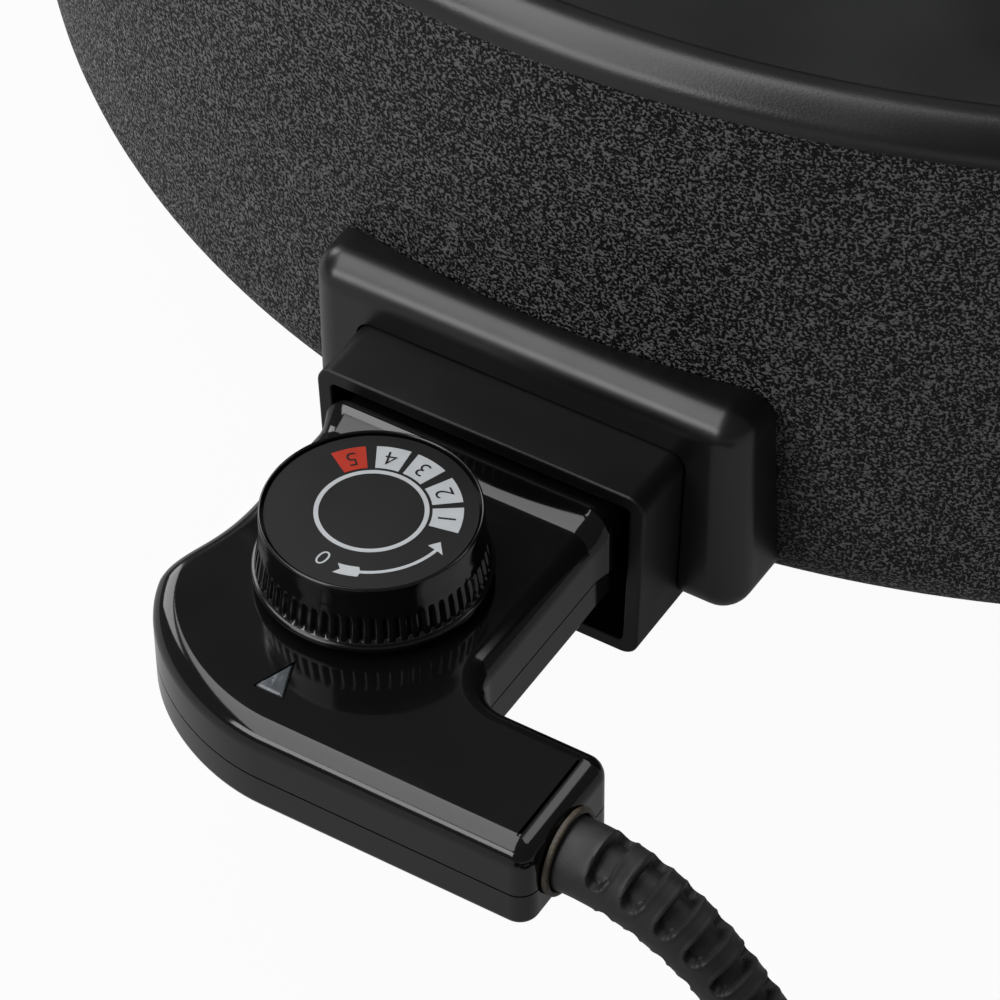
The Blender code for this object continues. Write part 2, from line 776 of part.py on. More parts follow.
def build_bowl(shop):
    """Cooking bowl: flat floor, round corner, leaning wall and rolled rim."""
    centre = RIM_RADIUS - BEAD_RADIUS
    corner_centre = (BOWL_FLAT_RADIUS, FLOOR_Z + BOWL_CORNER_RADIUS)
    seat = SHELL_TOP_RADIUS - SHELL_SHEET - GAP
    inner = [(0.0, FLOOR_Z)]
    inner += arc(corner_centre, BOWL_CORNER_RADIUS, -90, 0, 3)
    bead = arc((centre, BEAD_Z), BEAD_RADIUS, 180, 0, 6)
    outer = [(seat, BEAD_Z), (seat - SHELL_TAPER_SHARE * RIM_SKIRT, BEAD_Z - RIM_SKIRT)]
    outer.append((bead[0][0] + BOWL_WALL, BEAD_Z - RIM_SKIRT - BOWL_WALL))
    outer += arc(corner_centre, BOWL_CORNER_RADIUS + BOWL_WALL, 0, -55, 2)
    outer.append((BOWL_FLAT_RADIUS, FLOOR_UNDER_Z))
    boss = [(BOSS_RADIUS, FLOOR_UNDER_Z), (BOSS_RADIUS, BOSS_UNDER_Z)]
    bore = STUD_RADIUS + GAP
    bore_top = BOSS_UNDER_Z + BOSS_THREAD_DEPTH
    boss += [(bore, BOSS_UNDER_Z), (bore, bore_top), (0.0, bore_top)]
    profile = inner + bead + outer + boss
    turn_piece(shop, "inner_pan", profile, (0, PAN_Y, 0), shop.coating, PAN_STEPS)


def build_shell(shop):
    """Hammered wall with its openings for the socket and the handle screws."""
    outside = shell_profile(0.0)
    inside = shell_profile(-SHELL_SHEET)
    inside.reverse()
    opening = [
        (SHELL_OPENING_RADIUS, SHELL_BASE_Z),
        (SHELL_OPENING_RADIUS, SHELL_BASE_Z + SHELL_SHEET),
    ]
    profile = outside + opening + inside
    shell = turn_piece(
        shop, "outer_shell", profile, (0, PAN_Y, 0), shop.hammered, PAN_STEPS, closed=True
    )
    cut(shell, sleeve_passage(shop, "shell_window"))
    for side in (-1, 1):
        radius = SOCKET_SCREW_RADIUS + GAP
        mesh = rod_mesh("socket_screw_hole", radius, PLINTH_HALF, "Y", SCREW_SIDES)
        place = (side * SOCKET_SCREW_X, PAN_Y - PLINTH_FACE, SOCKET_SCREW_HEIGHT)
        cut(shell, shop.cutter("socket_screw_hole", mesh, place))
        for end in (-1, 1):
            radius = HANDLE_SCREW_RADIUS + GAP
            mesh = rod_mesh("handle_screw_hole", radius, HANDLE_SPAN, "X", SCREW_SIDES)
            start = side * shell_radius(HANDLE_HEIGHT) - HANDLE_SPAN / 2
            place = (start, PAN_Y + end * HANDLE_SCREW_OFFSET, HANDLE_HEIGHT)
            cut(shell, shop.cutter("handle_screw_hole", mesh, place))
    for place in foot_places():
        radius = FOOT_SCREW_RADIUS + GAP
        mesh = rod_mesh("foot_screw_hole", radius, SHELL_FOOT_Z, "Z", SCREW_SIDES)
        cut(shell, shop.cutter("foot_screw_hole", mesh, (*place, 0)))


def foot_places():
    """Centres of the four feet."""
    places = []
    for angle in FOOT_ANGLES_DEG:
        turn = math.radians(angle)
        x = FOOT_CIRCLE_RADIUS * math.cos(turn)
        y = PAN_Y + FOOT_CIRCLE_RADIUS * math.sin(turn)
        places.append((x, y))
    return places


def build_base(shop):
    """Base cover on the shell's foot, with its screw holes."""
    bore = STUD_RADIUS + GAP
    profile = [
        (bore, COVER_Z + COVER_THICKNESS),
        (COVER_RADIUS, COVER_Z + COVER_THICKNESS),
        (COVER_RADIUS, COVER_Z),
        (bore, COVER_Z),
    ]
    cover = turn_piece(
        shop, "base_cover", profile, (0, PAN_Y, 0), shop.plated, PAN_STEPS, closed=True
    )
    for place in foot_places():
        radius = FOOT_SCREW_RADIUS + GAP
        mesh = rod_mesh("cover_screw_hole", radius, SHELL_FOOT_Z, "Z", SCREW_SIDES)
        cut(cover, shop.cutter("cover_screw_hole", mesh, (*place, 0)))


def build_feet(shop):
    """Rubber feet with their screws, through the shell's foot and the cover."""
    hole = FOOT_SCREW_RADIUS + GAP
    foot = [
        (hole, FOOT_HEIGHT),
        (FOOT_TOP_RADIUS, FOOT_HEIGHT),
        (FOOT_RADIUS, FOOT_EDGE),
        (FOOT_RADIUS - FOOT_EDGE, 0.0),
        (FOOT_RECESS_RADIUS, 0.0),
        (FOOT_RECESS_RADIUS, FOOT_RECESS_DEPTH),
        (hole, FOOT_RECESS_DEPTH),
    ]
    head_top = FOOT_RECESS_DEPTH - GAP
    screw_top = COVER_Z + COVER_THICKNESS + FOOT_SCREW_TAIL
    screw = [
        (0.0, screw_top),
        (FOOT_SCREW_RADIUS, screw_top),
        (FOOT_SCREW_RADIUS, head_top),
        (FOOT_SCREW_HEAD_RADIUS, head_top),
        (FOOT_SCREW_HEAD_RADIUS, head_top - FOOT_SCREW_HEAD),
        (0.0, head_top - FOOT_SCREW_HEAD),
    ]
    for number, (x, y) in enumerate(foot_places(), start=1):
        name = f"foot_{number}"
        turn_piece(shop, name, foot, (x, y, 0), shop.rubber, PIN_SIDES, closed=True)
        turn_piece(shop, f"foot_screw_{number}", screw, (x, y, 0), shop.plated, SCREW_SIDES)


def build_centre(shop):
    """Stud, spacer, washer and nut that pull bowl, reflector and base together."""
    place = (0, PAN_Y, 0)
    hole = STUD_RADIUS + GAP
    spacer_top = REFLECTOR_TOP_Z - REFLECTOR_THICKNESS - GAP
    spacer_base = COVER_Z + COVER_THICKNESS + GAP
    spacer = [
        (hole, spacer_top),
        (SPACER_RADIUS, spacer_top),
        (SPACER_RADIUS, spacer_base),
        (hole, spacer_base),
    ]
    turn_piece(shop, "centre_spacer", spacer, place, shop.plated, PIN_SIDES, closed=True)
    washer_top = COVER_Z - GAP
    washer_base = washer_top - WASHER_THICKNESS
    washer = [
        (hole, washer_top),
        (WASHER_RADIUS, washer_top),
        (WASHER_RADIUS, washer_base),
        (hole, washer_base),
    ]
    turn_piece(shop, "centre_washer", washer, place, shop.plated, RING_SIDES, closed=True)
    nut_top = washer_base - GAP
    nut_base = nut_top - NUT_HEIGHT
    mesh = rod_mesh("centre_nut", NUT_RADIUS, NUT_HEIGHT, "Z", 6)
    nut = shop.add("centre_nut", mesh, (0, PAN_Y, nut_base), shop.plated)
    bore = rod_mesh("nut_bore", hole, NUT_HEIGHT + 2 * OVERRUN, "Z", SCREW_SIDES)
    cut(nut, shop.cutter("nut_bore", bore, (0, PAN_Y, nut_base - OVERRUN)))
    stud_top = BOSS_UNDER_Z + BOSS_THREAD_DEPTH - GAP
    length = stud_top - nut_base + STUD_TAIL
    mesh = rod_mesh("centre_stud", STUD_RADIUS, length, "Z", SCREW_SIDES)
    shop.add("centre_stud", mesh, (0, PAN_Y, stud_top - length), shop.plated)


def build_reflector(shop):
    """Reflector plate under the element, slotted for the legs and the probe well."""
    hole = STUD_RADIUS + GAP
    base = REFLECTOR_TOP_Z - REFLECTOR_THICKNESS
    profile = [
        (hole, REFLECTOR_TOP_Z),
        (REFLECTOR_RADIUS, REFLECTOR_TOP_Z),
        (REFLECTOR_RADIUS, base),
        (hole, base),
    ]
    plate = turn_piece(
        shop, "reflector_plate", profile, (0, PAN_Y, 0), shop.aluminium, FLUTE_COUNT, closed=True
    )
    low = (-REFLECTOR_SLOT_HALF, PAN_Y - REFLECTOR_RADIUS - OVERRUN, base - OVERRUN)
    back = PAN_Y - REFLECTOR_RADIUS + REFLECTOR_SLOT_DEPTH
    high = (REFLECTOR_SLOT_HALF, back, REFLECTOR_TOP_Z + OVERRUN)
    size, centre = box_between(low, high)
    cut(plate, shop.cutter("reflector_slot", block_mesh("reflector_slot", size), centre))


def element_path():
    """Right leg, bend, ring and left leg of the tubular element."""
    leg_y = CARRIER_Y + CARRIER_THICKNESS + GAP + PIN_COLLAR + PIN_TAIL + GAP
    ring = ELEMENT_RING_RADIUS
    bend = ELEMENT_BEND_RADIUS
    bend_x = LINE_PIN_X + bend
    bend_y = PAN_Y - math.sqrt((ring + bend) ** 2 - bend_x**2)
    turn = math.degrees(math.atan2(PAN_Y - bend_y, bend_x))
    rise_start = leg_y + ELEMENT_RISE_START
    rise_end = leg_y + ELEMENT_RISE_END
    right = [(LINE_PIN_X, leg_y, PIN_HEIGHT)]
    for step in range(6):
        share = step / 5
        ease = share * share * (3 - 2 * share)
        y = rise_start + (rise_end - rise_start) * share
        right.append((LINE_PIN_X, y, PIN_HEIGHT + (ELEMENT_Z - PIN_HEIGHT) * ease))
    right += [(x, y, ELEMENT_Z) for x, y in arc((bend_x, bend_y), bend, 180, 180 - turn, 5)]
    around = arc((0.0, PAN_Y), ring, -turn, turn + 180, ELEMENT_POINTS)
    middle = [(x, y, ELEMENT_Z) for x, y in around[1:-1]]
    left = [(-x, y, z) for x, y, z in reversed(right)]
    return right + middle + left


def build_element(shop):
    """Tubular heating element under the floor."""
    tube(
        shop, "heating_element", element_path(), ELEMENT_RADIUS, shop.steel, TUBE_RESOLUTION
    )


def build_probe_well(shop):
    """Block under the floor that takes the sensing probe."""
    low = (-WELL_HALF_WIDTH, WELL_Y, PIN_HEIGHT - WELL_SKIRT)
    high = (WELL_HALF_WIDTH, WELL_Y + WELL_LENGTH, FLOOR_UNDER_Z - GAP)
    size, centre = box_between(low, high)
    mesh = block_mesh("probe_well", size)
    well = shop.add("probe_well", mesh, centre, shop.aluminium)
    depth = WELL_LENGTH - WELL_END_WALL + OVERRUN
    bore = rod_mesh("probe_bore", PROBE_RADIUS + GAP, depth, "Y", PIN_SIDES)
    cut(well, shop.cutter("probe_bore", bore, (0, WELL_Y - OVERRUN, PIN_HEIGHT)))


def build_handles(shop):
    """Two side handles with a finger gap, and the screws from inside the shell."""
    wall = shell_radius(HANDLE_HEIGHT)
    sink = wall - math.sqrt(wall**2 - (HANDLE_SPAN / 2) ** 2) + OVERRUN
    for name, side in (("left_handle", -1), ("right_handle", 1)):
        low = (wall - sink, -HANDLE_SPAN / 2)
        high = (wall + HANDLE_REACH, HANDLE_SPAN / 2)
        outline = arc(
            (high[0] - HANDLE_CORNER, low[1] + HANDLE_CORNER), HANDLE_CORNER, -90, 0, 5
        )
        outline += arc(
            (high[0] - HANDLE_CORNER, high[1] - HANDLE_CORNER), HANDLE_CORNER, 0, 90, 5
        )
        outline += [(low[0], high[1]), (low[0], low[1])]
        if side < 0:
            outline = [(-x, -y) for x, y in outline]
        mesh = plate_mesh(name, [outline], HANDLE_THICKNESS)
        round_rim(mesh, 0.0, HANDLE_EDGE, 2)
        round_rim(mesh, HANDLE_THICKNESS, HANDLE_EDGE, 2)
        place = (0, PAN_Y, HANDLE_HEIGHT - HANDLE_THICKNESS / 2)
        handle = shop.add(name, mesh, place, shop.matte)
        start = wall + GRIP_GAP_START
        gap_low = (start, -GRIP_GAP_HALF)
        gap_high = (start + GRIP_GAP_WIDTH, GRIP_GAP_HALF)
        gap = rounded_rectangle(gap_low, gap_high, GRIP_GAP_WIDTH / 3)
        gap = [(side * x, side * y) for x, y in gap]
        depth = HANDLE_THICKNESS + 2 * OVERRUN
        tool = plate_mesh("grip_gap", [gap], depth)
        place = (0, PAN_Y, HANDLE_HEIGHT - depth / 2)
        cut(handle, shop.cutter("grip_gap", tool, place))
        cut(handle, shell_tool(shop, "handle_seat"))
        for number, end in enumerate((-1, 1), start=1):
            build_handle_screw(shop, handle, side, end, f"{name}_screw_{number}")


def build_handle_screw(shop, handle, side, end, name):
    """A screw from inside the shell into a handle's foot."""
    y = end * HANDLE_SCREW_OFFSET
    outer = shell_radius(HANDLE_HEIGHT)
    lean = SHELL_TAPER_SHARE * HANDLE_SCREW_HEAD_RADIUS
    reach = y + end * HANDLE_SCREW_HEAD_RADIUS
    inner = math.sqrt((outer - SHELL_SHEET) ** 2 - reach**2) - lean - 2 * GAP
    x = inner - HANDLE_SCREW_HEAD
    length = outer + HANDLE_SCREW_BITE - inner
    bm = bmesh.new()
    head_turn = Matrix.Rotation(math.pi / 2, 4, "Y")
    head_place = Matrix.Translation((HANDLE_SCREW_HEAD / 2, 0, 0)) @ head_turn
    bmesh.ops.create_cone(
        bm,
        cap_ends=True,
        segments=SCREW_SIDES,
        radius1=HANDLE_SCREW_HEAD_RADIUS,
        radius2=HANDLE_SCREW_HEAD_RADIUS,
        depth=HANDLE_SCREW_HEAD,
        matrix=head_place,
    )
    if side < 0:
        bmesh.ops.rotate(bm, verts=bm.verts, cent=(0, 0, 0), matrix=Matrix.Rotation(math.pi, 3, "Z"))
    screw = shop.add(name, mesh_of(bm, name), (side * x, PAN_Y + y, HANDLE_HEIGHT), shop.plated)
    shank_length = length + HANDLE_SCREW_HEAD / 2
    shank = rod_mesh("handle_shank", HANDLE_SCREW_RADIUS, shank_length, "X", SCREW_SIDES)
    start = x + HANDLE_SCREW_HEAD / 2
    low_end = start if side > 0 else -start - shank_length
    join(screw, shop.cutter("handle_shank", shank, (low_end, PAN_Y + y, HANDLE_HEIGHT)))
    hole_length = shank_length + GAP
    radius = HANDLE_SCREW_RADIUS + GAP
    hole = rod_mesh("handle_hole", radius, hole_length, "X", SCREW_SIDES)
    low_end = start if side > 0 else -start - hole_length
    cut(handle, shop.cutter("handle_hole", hole, (low_end, PAN_Y + y, HANDLE_HEIGHT)))


def sleeve_outline(growth, corner):
    """Section of the socket sleeve in X and Z, narrower at its base."""
    half_top = SLEEVE_HALF + growth
    half_base = SLEEVE_HALF - SLEEVE_DRAFT + growth
    top = SLEEVE_TOP_HEIGHT + growth
    base = SLEEVE_BASE_HEIGHT - growth
    points = []
    points += arc((half_base - corner, base + corner), corner, -90, 0, 3)
    points += arc((half_top - corner, top - corner), corner, 0, 90, 3)
    points += arc((-half_top + corner, top - corner), corner, 90, 180, 3)
    points += arc((-half_base + corner, base + corner), corner, 180, 270, 3)
    return points


def upright(mesh):
    """Turn a plate drawn in X and Y so that it stands in X and Z and runs along +Y."""
    mesh.transform(Matrix.Rotation(math.pi / 2, 4, "X"))
    mesh.transform(Matrix.Scale(-1, 4, (0, 1, 0)))
    mesh.flip_normals()


def sleeve_passage(shop, name):
    """Cutter that lets the sleeve pass, with the gap all round."""
    mesh = plate_mesh(name, [sleeve_outline(GAP, SLEEVE_CORNER)], KNOB_TO_PLINTH)
    upright(mesh)
    return shop.cutter(name, mesh, (0, PAN_Y - PLINTH_FACE - OVERRUN, 0))


def build_socket(shop):
    """Plinth, sleeve and screws of the socket."""
    low = (-PLINTH_HALF, PAN_Y - PLINTH_FACE, PLINTH_BASE_HEIGHT)
    high = (PLINTH_HALF, PAN_Y - SHELL_OPENING_RADIUS, PLINTH_TOP_HEIGHT)
    size, centre = box_between(low, high)
    mesh = block_mesh("socket_plinth", size, PLINTH_ROUND, 5)
    plinth = shop.add("socket_plinth", mesh, centre, shop.satin)
    cut(plinth, shell_tool(shop, "plinth_seat"))
    cut(plinth, sleeve_passage(shop, "plinth_window"))

    length = SLEEVE_BACK_Y - SLEEVE_MOUTH_Y
    outer = sleeve_outline(0.0, SLEEVE_CORNER)
    inner = sleeve_outline(-SLEEVE_WALL, MOUTH_CORNER)
    mesh = plate_mesh("socket_sleeve", [outer, inner], length)
    upright(mesh)
    shop.add("socket_sleeve", mesh, (0, SLEEVE_MOUTH_Y, 0), shop.matte)

    head_y = PAN_Y - math.sqrt(
        (shell_radius(SOCKET_SCREW_HEIGHT) - SHELL_SHEET) ** 2
        - (SOCKET_SCREW_X + SOCKET_SCREW_HEAD_RADIUS) ** 2
    )
    head_y += SHELL_TAPER_SHARE * SOCKET_SCREW_HEAD_RADIUS + 2 * GAP
    shank_y = PAN_Y - PLINTH_FACE + SOCKET_SCREW_CAP
    for name, side in (("socket_screw_left", -1), ("socket_screw_right", 1)):
        x = side * SOCKET_SCREW_X
        mesh = rod_mesh(name, SOCKET_SCREW_HEAD_RADIUS, SOCKET_SCREW_HEAD, "Y", SCREW_SIDES)
        screw = shop.add(name, mesh, (x, head_y, SOCKET_SCREW_HEIGHT), shop.plated)
        length = head_y + SOCKET_SCREW_HEAD / 2 - shank_y
        shank = rod_mesh("socket_shank", SOCKET_SCREW_RADIUS, length, "Y", SCREW_SIDES)
        join(screw, shop.cutter("socket_shank", shank, (x, shank_y, SOCKET_SCREW_HEIGHT)))
        hole = rod_mesh("socket_hole", SOCKET_SCREW_RADIUS + GAP, length, "Y", SCREW_SIDES)
        place = (x, shank_y - GAP, SOCKET_SCREW_HEIGHT)
        cut(plinth, shop.cutter("socket_hole", hole, place))


def pin_columns():
    """Names and X places of the socket's three pins."""
    return (
        ("line_pin_left", -LINE_PIN_X),
        ("earth_pin", EARTH_PIN_X),
        ("line_pin_right", LINE_PIN_X),
    )


def build_pins(shop):
    """Ceramic carrier behind the sleeve and the three pins that stand in it."""
    outline = sleeve_outline(0.0, SLEEVE_CORNER)
    mesh = plate_mesh("pin_carrier", [outline], CARRIER_THICKNESS)
    upright(mesh)
    carrier = shop.add("pin_carrier", mesh, (0, CARRIER_Y, 0), shop.ceramic)
    tip_y = NOSE_Y - PIN_ENTRY
    back_y = CARRIER_Y + CARRIER_THICKNESS
    depth = CARRIER_THICKNESS + 2 * OVERRUN
    for name, x in pin_columns():
        collar = back_y + GAP - tip_y
        profile = [
            (0.0, collar + PIN_COLLAR + PIN_TAIL),
            (PIN_RADIUS, collar + PIN_COLLAR + PIN_TAIL),
            (PIN_RADIUS, collar + PIN_COLLAR),
            (PIN_COLLAR_RADIUS, collar + PIN_COLLAR),
            (PIN_COLLAR_RADIUS, collar),
            (PIN_RADIUS, collar),
            (PIN_RADIUS, PIN_POINT),
            (PIN_RADIUS - PIN_POINT, 0.0),
            (0.0, 0.0),
        ]
        pin = turn_piece(
            shop, name, profile, (x, tip_y, PIN_HEIGHT), shop.brass, PIN_SIDES
        )
        pin.rotation_euler = (-math.pi / 2, 0, 0)
        hole = rod_mesh("pin_hole", PIN_RADIUS + GAP, depth, "Y", PIN_SIDES)
        cut(carrier, shop.cutter("pin_hole", hole, (x, CARRIER_Y - OVERRUN, PIN_HEIGHT)))
    hole = rod_mesh("probe_hole", PROBE_RADIUS + GAP, depth, "Y", PIN_SIDES)
    cut(carrier, shop.cutter("probe_hole", hole, (0, CARRIER_Y - OVERRUN, PIN_HEIGHT)))


def case_screw_places():
    """Plan places of the three screws that hold the thermostat's shells."""
    return (
        (TIP_SCREW_X, KNOB_Y + TIP_SCREW_Y),
        (ARM_SCREW_X, KNOB_Y + ARM_SCREW_Y),
        (NECK_SCREW_X, KNOB_Y + NECK_SCREW_Y),
    )


def nose_holes(shop, shell):
    """Openings of the nose for the pins and the probe."""
    depth = HEAD_WALL + 2 * OVERRUN
    start = NOSE_Y - HEAD_WALL - OVERRUN
    for name, x in pin_columns():
        hole = rod_mesh("nose_hole", PIN_RADIUS + 2 * GAP, depth, "Y", PIN_SIDES)
        cut(shell, shop.cutter("nose_hole_" + name, hole, (x, start, PIN_HEIGHT)))
    hole = rod_mesh("nose_probe_hole", PROBE_RADIUS + GAP, depth, "Y", PIN_SIDES)
    cut(shell, shop.cutter("nose_probe_hole", hole, (0, start, PIN_HEIGHT)))


def cord_hole(shop, shell):
    """Opening of the right face for the boot."""
    depth = HEAD_WALL + 2 * OVERRUN
    hole = rod_mesh("cord_hole", BOOT_RADIUS + GAP, depth, "X", RING_SIDES)
    start = HEAD_RIGHT - HEAD_WALL - OVERRUN
    cut(shell, shop.cutter("cord_hole", hole, (start, KNOB_Y + CORD_EXIT_Y, PIN_HEIGHT)))


def lens_outline(growth):
    """Pointer-shaped window: a tip towards the knob and an arc for its base."""
    half = math.degrees(math.asin(LENS_HALF / LENS_BASE))
    base = arc((0.0, 0.0), LENS_BASE + growth, -90 - half, -90 + half, 4)
    spread = growth * (LENS_BASE - LENS_TIP) / LENS_HALF
    base[0] = (base[0][0] - growth, base[0][1])
    base[-1] = (base[-1][0] + growth, base[-1][1])
    return base + [(0.0, -LENS_TIP + min(spread, LENS_HALF))]


def build_upper_shell(shop, parent):
    """Upper shell: rounded top, neck with a finger ridge, bosses and windows."""
    outline = head_outline()
    height = HEAD_TOP_Z - SEAM_Z
    mesh = plate_mesh("thermostat_upper_shell", [outline], height)
    round_rim(mesh, height, HEAD_TOP_ROUND, 3)
    shell = shop.add(
        "thermostat_upper_shell", mesh, (0, KNOB_Y, SEAM_Z), shop.gloss, parent
    )
    cavity = plate_mesh("upper_cavity", [inset(outline, HEAD_WALL)], height - HEAD_WALL + OVERRUN)
    cut(shell, shop.cutter("upper_cavity", cavity, (0, KNOB_Y, SEAM_Z - OVERRUN)))
    join(shell, ridge_tool(shop))
    for x, y in case_screw_places():
        boss_height = CAVITY_TOP_Z - SEAM_Z + HEAD_WALL / 2
        boss = rod_mesh("upper_boss", CASE_BOSS_RADIUS, boss_height, "Z", PIN_SIDES)
        join(shell, shop.cutter("upper_boss", boss, (x, y, SEAM_Z)))
        depth = HEAD_TOP_Z - CASE_SCREW_CAP - SEAM_Z + OVERRUN
        hole = rod_mesh("upper_pilot", CASE_SCREW_RADIUS + GAP, depth, "Z", SCREW_SIDES)
        cut(shell, shop.cutter("upper_pilot", hole, (x, y, SEAM_Z - OVERRUN)))
    depth = HEAD_WALL + 2 * OVERRUN
    hole = rod_mesh("spindle_hole", SPINDLE_RADIUS + GAP, depth, "Z", RING_SIDES)
    cut(shell, shop.cutter("spindle_hole", hole, (0, KNOB_Y, CAVITY_TOP_Z - OVERRUN)))
    window = plate_mesh("lens_window", [lens_outline(GAP)], depth)
    cut(shell, shop.cutter("lens_window", window, (0, KNOB_Y, CAVITY_TOP_Z - OVERRUN)))
    nose_holes(shop, shell)
    cord_hole(shop, shell)


def ridge_tool(shop):
    """Finger ridge: a scooped ramp up to a crest, drawn in Y and Z and run along X."""
    run = RIDGE_CREST - RIDGE_FOOT
    profile = [(RIDGE_FOOT + run * y, RIDGE_HEIGHT * z) for y, z in RIDGE_SHARES]
    profile += [(RIDGE_BACK, RIDGE_HEIGHT), (RIDGE_BACK, -RIDGE_SINK)]
    profile += [(RIDGE_FOOT, -RIDGE_SINK)]
    half = NECK_HALF - HEAD_TOP_ROUND / 2 + RIDGE_OVERHANG
    mesh = plate_mesh("finger_ridge", [profile], 2 * half)
    mesh.transform(Matrix.Rotation(math.pi / 2, 4, "X"))
    mesh.transform(Matrix.Rotation(math.pi / 2, 4, "Z"))
    return shop.cutter("finger_ridge", mesh, (-half, KNOB_Y, HEAD_TOP_Z))


def build_lower_shell(shop, parent):
    """Lower shell: a tray with screw posts under the parting seam."""
    outline = head_outline()
    height = SEAM_Z - GAP - HEAD_BASE_Z
    mesh = plate_mesh("thermostat_lower_shell", [outline], height)
    round_rim(mesh, 0.0, HEAD_BASE_ROUND, 2)
    shell = shop.add(
        "thermostat_lower_shell", mesh, (0, KNOB_Y, HEAD_BASE_Z), shop.gloss, parent
    )
    cavity = plate_mesh("lower_cavity", [inset(outline, HEAD_WALL)], height)
    cut(shell, shop.cutter("lower_cavity", cavity, (0, KNOB_Y, CAVITY_BASE_Z)))
    recess = CASE_SCREW_SINK + CASE_SCREW_HEAD + GAP + OVERRUN
    for x, y in case_screw_places():
        post = rod_mesh("lower_post", CASE_FOOT_BOSS_RADIUS, height - HEAD_WALL / 2, "Z", PIN_SIDES)
        join(shell, shop.cutter("lower_post", post, (x, y, HEAD_BASE_Z + HEAD_WALL / 2)))
        sink = rod_mesh("head_recess", CASE_SCREW_HEAD_RADIUS + GAP, recess, "Z", PIN_SIDES)
        cut(shell, shop.cutter("head_recess", sink, (x, y, HEAD_BASE_Z - OVERRUN)))
        hole = rod_mesh("post_hole", CASE_SCREW_RADIUS + GAP, HEAD_THICKNESS, "Z", SCREW_SIDES)
        cut(shell, shop.cutter("post_hole", hole, (x, y, HEAD_BASE_Z - OVERRUN)))
    nose_holes(shop, shell)
    cord_hole(shop, shell)


def build_case_screws(shop, parent):
    """Three screws from below that hold the shells together."""
    head_base = HEAD_BASE_Z + CASE_SCREW_SINK
    top = HEAD_TOP_Z - CASE_SCREW_CAP - GAP
    profile = [
        (0.0, top),
        (CASE_SCREW_RADIUS, top),
        (CASE_SCREW_RADIUS, head_base + CASE_SCREW_HEAD),
        (CASE_SCREW_HEAD_RADIUS, head_base + CASE_SCREW_HEAD),
        (CASE_SCREW_HEAD_RADIUS, head_base),
        (0.0, head_base),
    ]
    for number, (x, y) in enumerate(case_screw_places(), start=1):
        name = f"case_screw_{number}"
        turn_piece(shop, name, profile, (x, y, 0), shop.plated, SCREW_SIDES, parent=parent)


def build_knob(shop, parent):
    """Knob with fluted skirt, its dial and its spindle."""
    dial_radius = KNOB_RADIUS - KNOB_SHOULDER
    recess = KNOB_HEIGHT - KNOB_LIP - DIAL_THICKNESS - GAP
    socket = SPINDLE_RADIUS + GAP
    socket_top = SPINDLE_SOCKET_DEPTH
    skirt = KNOB_RADIUS + KNOB_LIP_WIDTH / 2
    profile = [
        (0.0, recess),
        (dial_radius + GAP, recess),
        (dial_radius + GAP, KNOB_HEIGHT - KNOB_LIP / 2),
        (dial_radius + GAP + KNOB_LIP_WIDTH / 3, KNOB_HEIGHT),
        (KNOB_RADIUS - KNOB_LIP_WIDTH / 2, KNOB_HEIGHT),
        (KNOB_RADIUS, KNOB_HEIGHT - KNOB_LIP_WIDTH),
        (skirt, KNOB_FLANGE + FLUTE_HEIGHT),
        (skirt, KNOB_FLANGE),
        (KNOB_FLANGE_RADIUS, KNOB_FLANGE),
        (KNOB_FLANGE_RADIUS, 0.0),
        (KNOB_HOLLOW_RADIUS, 0.0),
        (KNOB_HOLLOW_RADIUS, KNOB_HOLLOW_DEPTH),
        (KNOB_HUB_RADIUS, KNOB_HOLLOW_DEPTH),
        (KNOB_HUB_RADIUS, KNOB_FLANGE / 2),
        (socket, KNOB_FLANGE / 2),
        (socket, socket_top),
        (0.0, socket_top),
    ]
    place = (0, KNOB_Y, KNOB_BASE_Z)
    knob = turn_piece(
        shop, "control_knob", profile, place, shop.gloss, FLUTE_COUNT, parent=parent
    )
    teeth = []
    for tooth in range(2 * FLUTE_COUNT):
        radius = FLUTE_RADIUS - FLUTE_DEPTH * (tooth % 2)
        angle = math.tau * tooth / (2 * FLUTE_COUNT)
        teeth.append((radius * math.cos(angle), radius * math.sin(angle)))
    bore = arc((0.0, 0.0), KNOB_RADIUS - FLUTE_ROOT, 0, 360 - 360 / FLUTE_COUNT, FLUTE_COUNT - 1)
    band = plate_mesh("flute_band", [teeth, bore], FLUTE_HEIGHT + KNOB_FLANGE / 2)
    place = (0, KNOB_Y, KNOB_BASE_Z + KNOB_FLANGE / 2)
    join(knob, shop.cutter("flute_band", band, place))

    dial = rod_mesh("dial_face", dial_radius, DIAL_THICKNESS, "Z", FLUTE_COUNT)
    dial_z = KNOB_TOP_Z - KNOB_LIP - DIAL_THICKNESS
    shop.add("dial_face", dial, (0, KNOB_Y, dial_z), shop.satin, parent)
    length = KNOB_BASE_Z + SPINDLE_SOCKET_DEPTH - GAP - SPINDLE_FOOT_HEIGHT
    spindle = rod_mesh("knob_spindle", SPINDLE_RADIUS, length, "Z", RING_SIDES)
    shop.add("knob_spindle", spindle, (0, KNOB_Y, SPINDLE_FOOT_HEIGHT), shop.brass, parent)


def build_pilot(shop, parent):
    """Pointer-shaped pilot lens and the lamp below it."""
    base = HEAD_TOP_Z + LENS_PROUD - LENS_DEPTH
    lens = plate_mesh("pilot_lens", [lens_outline(0.0)], LENS_DEPTH)
    shop.add("pilot_lens", lens, (0, KNOB_Y, base), shop.lens, parent)
    lamp = rod_mesh("pilot_lamp", LAMP_RADIUS, LAMP_LENGTH, "X", PIN_SIDES)
    y = KNOB_Y - (LENS_TIP + LENS_BASE) / 2
    place = (-LAMP_LENGTH / 2, y, base - GAP - LAMP_RADIUS)
    shop.add("pilot_lamp", lamp, place, shop.glass, parent)


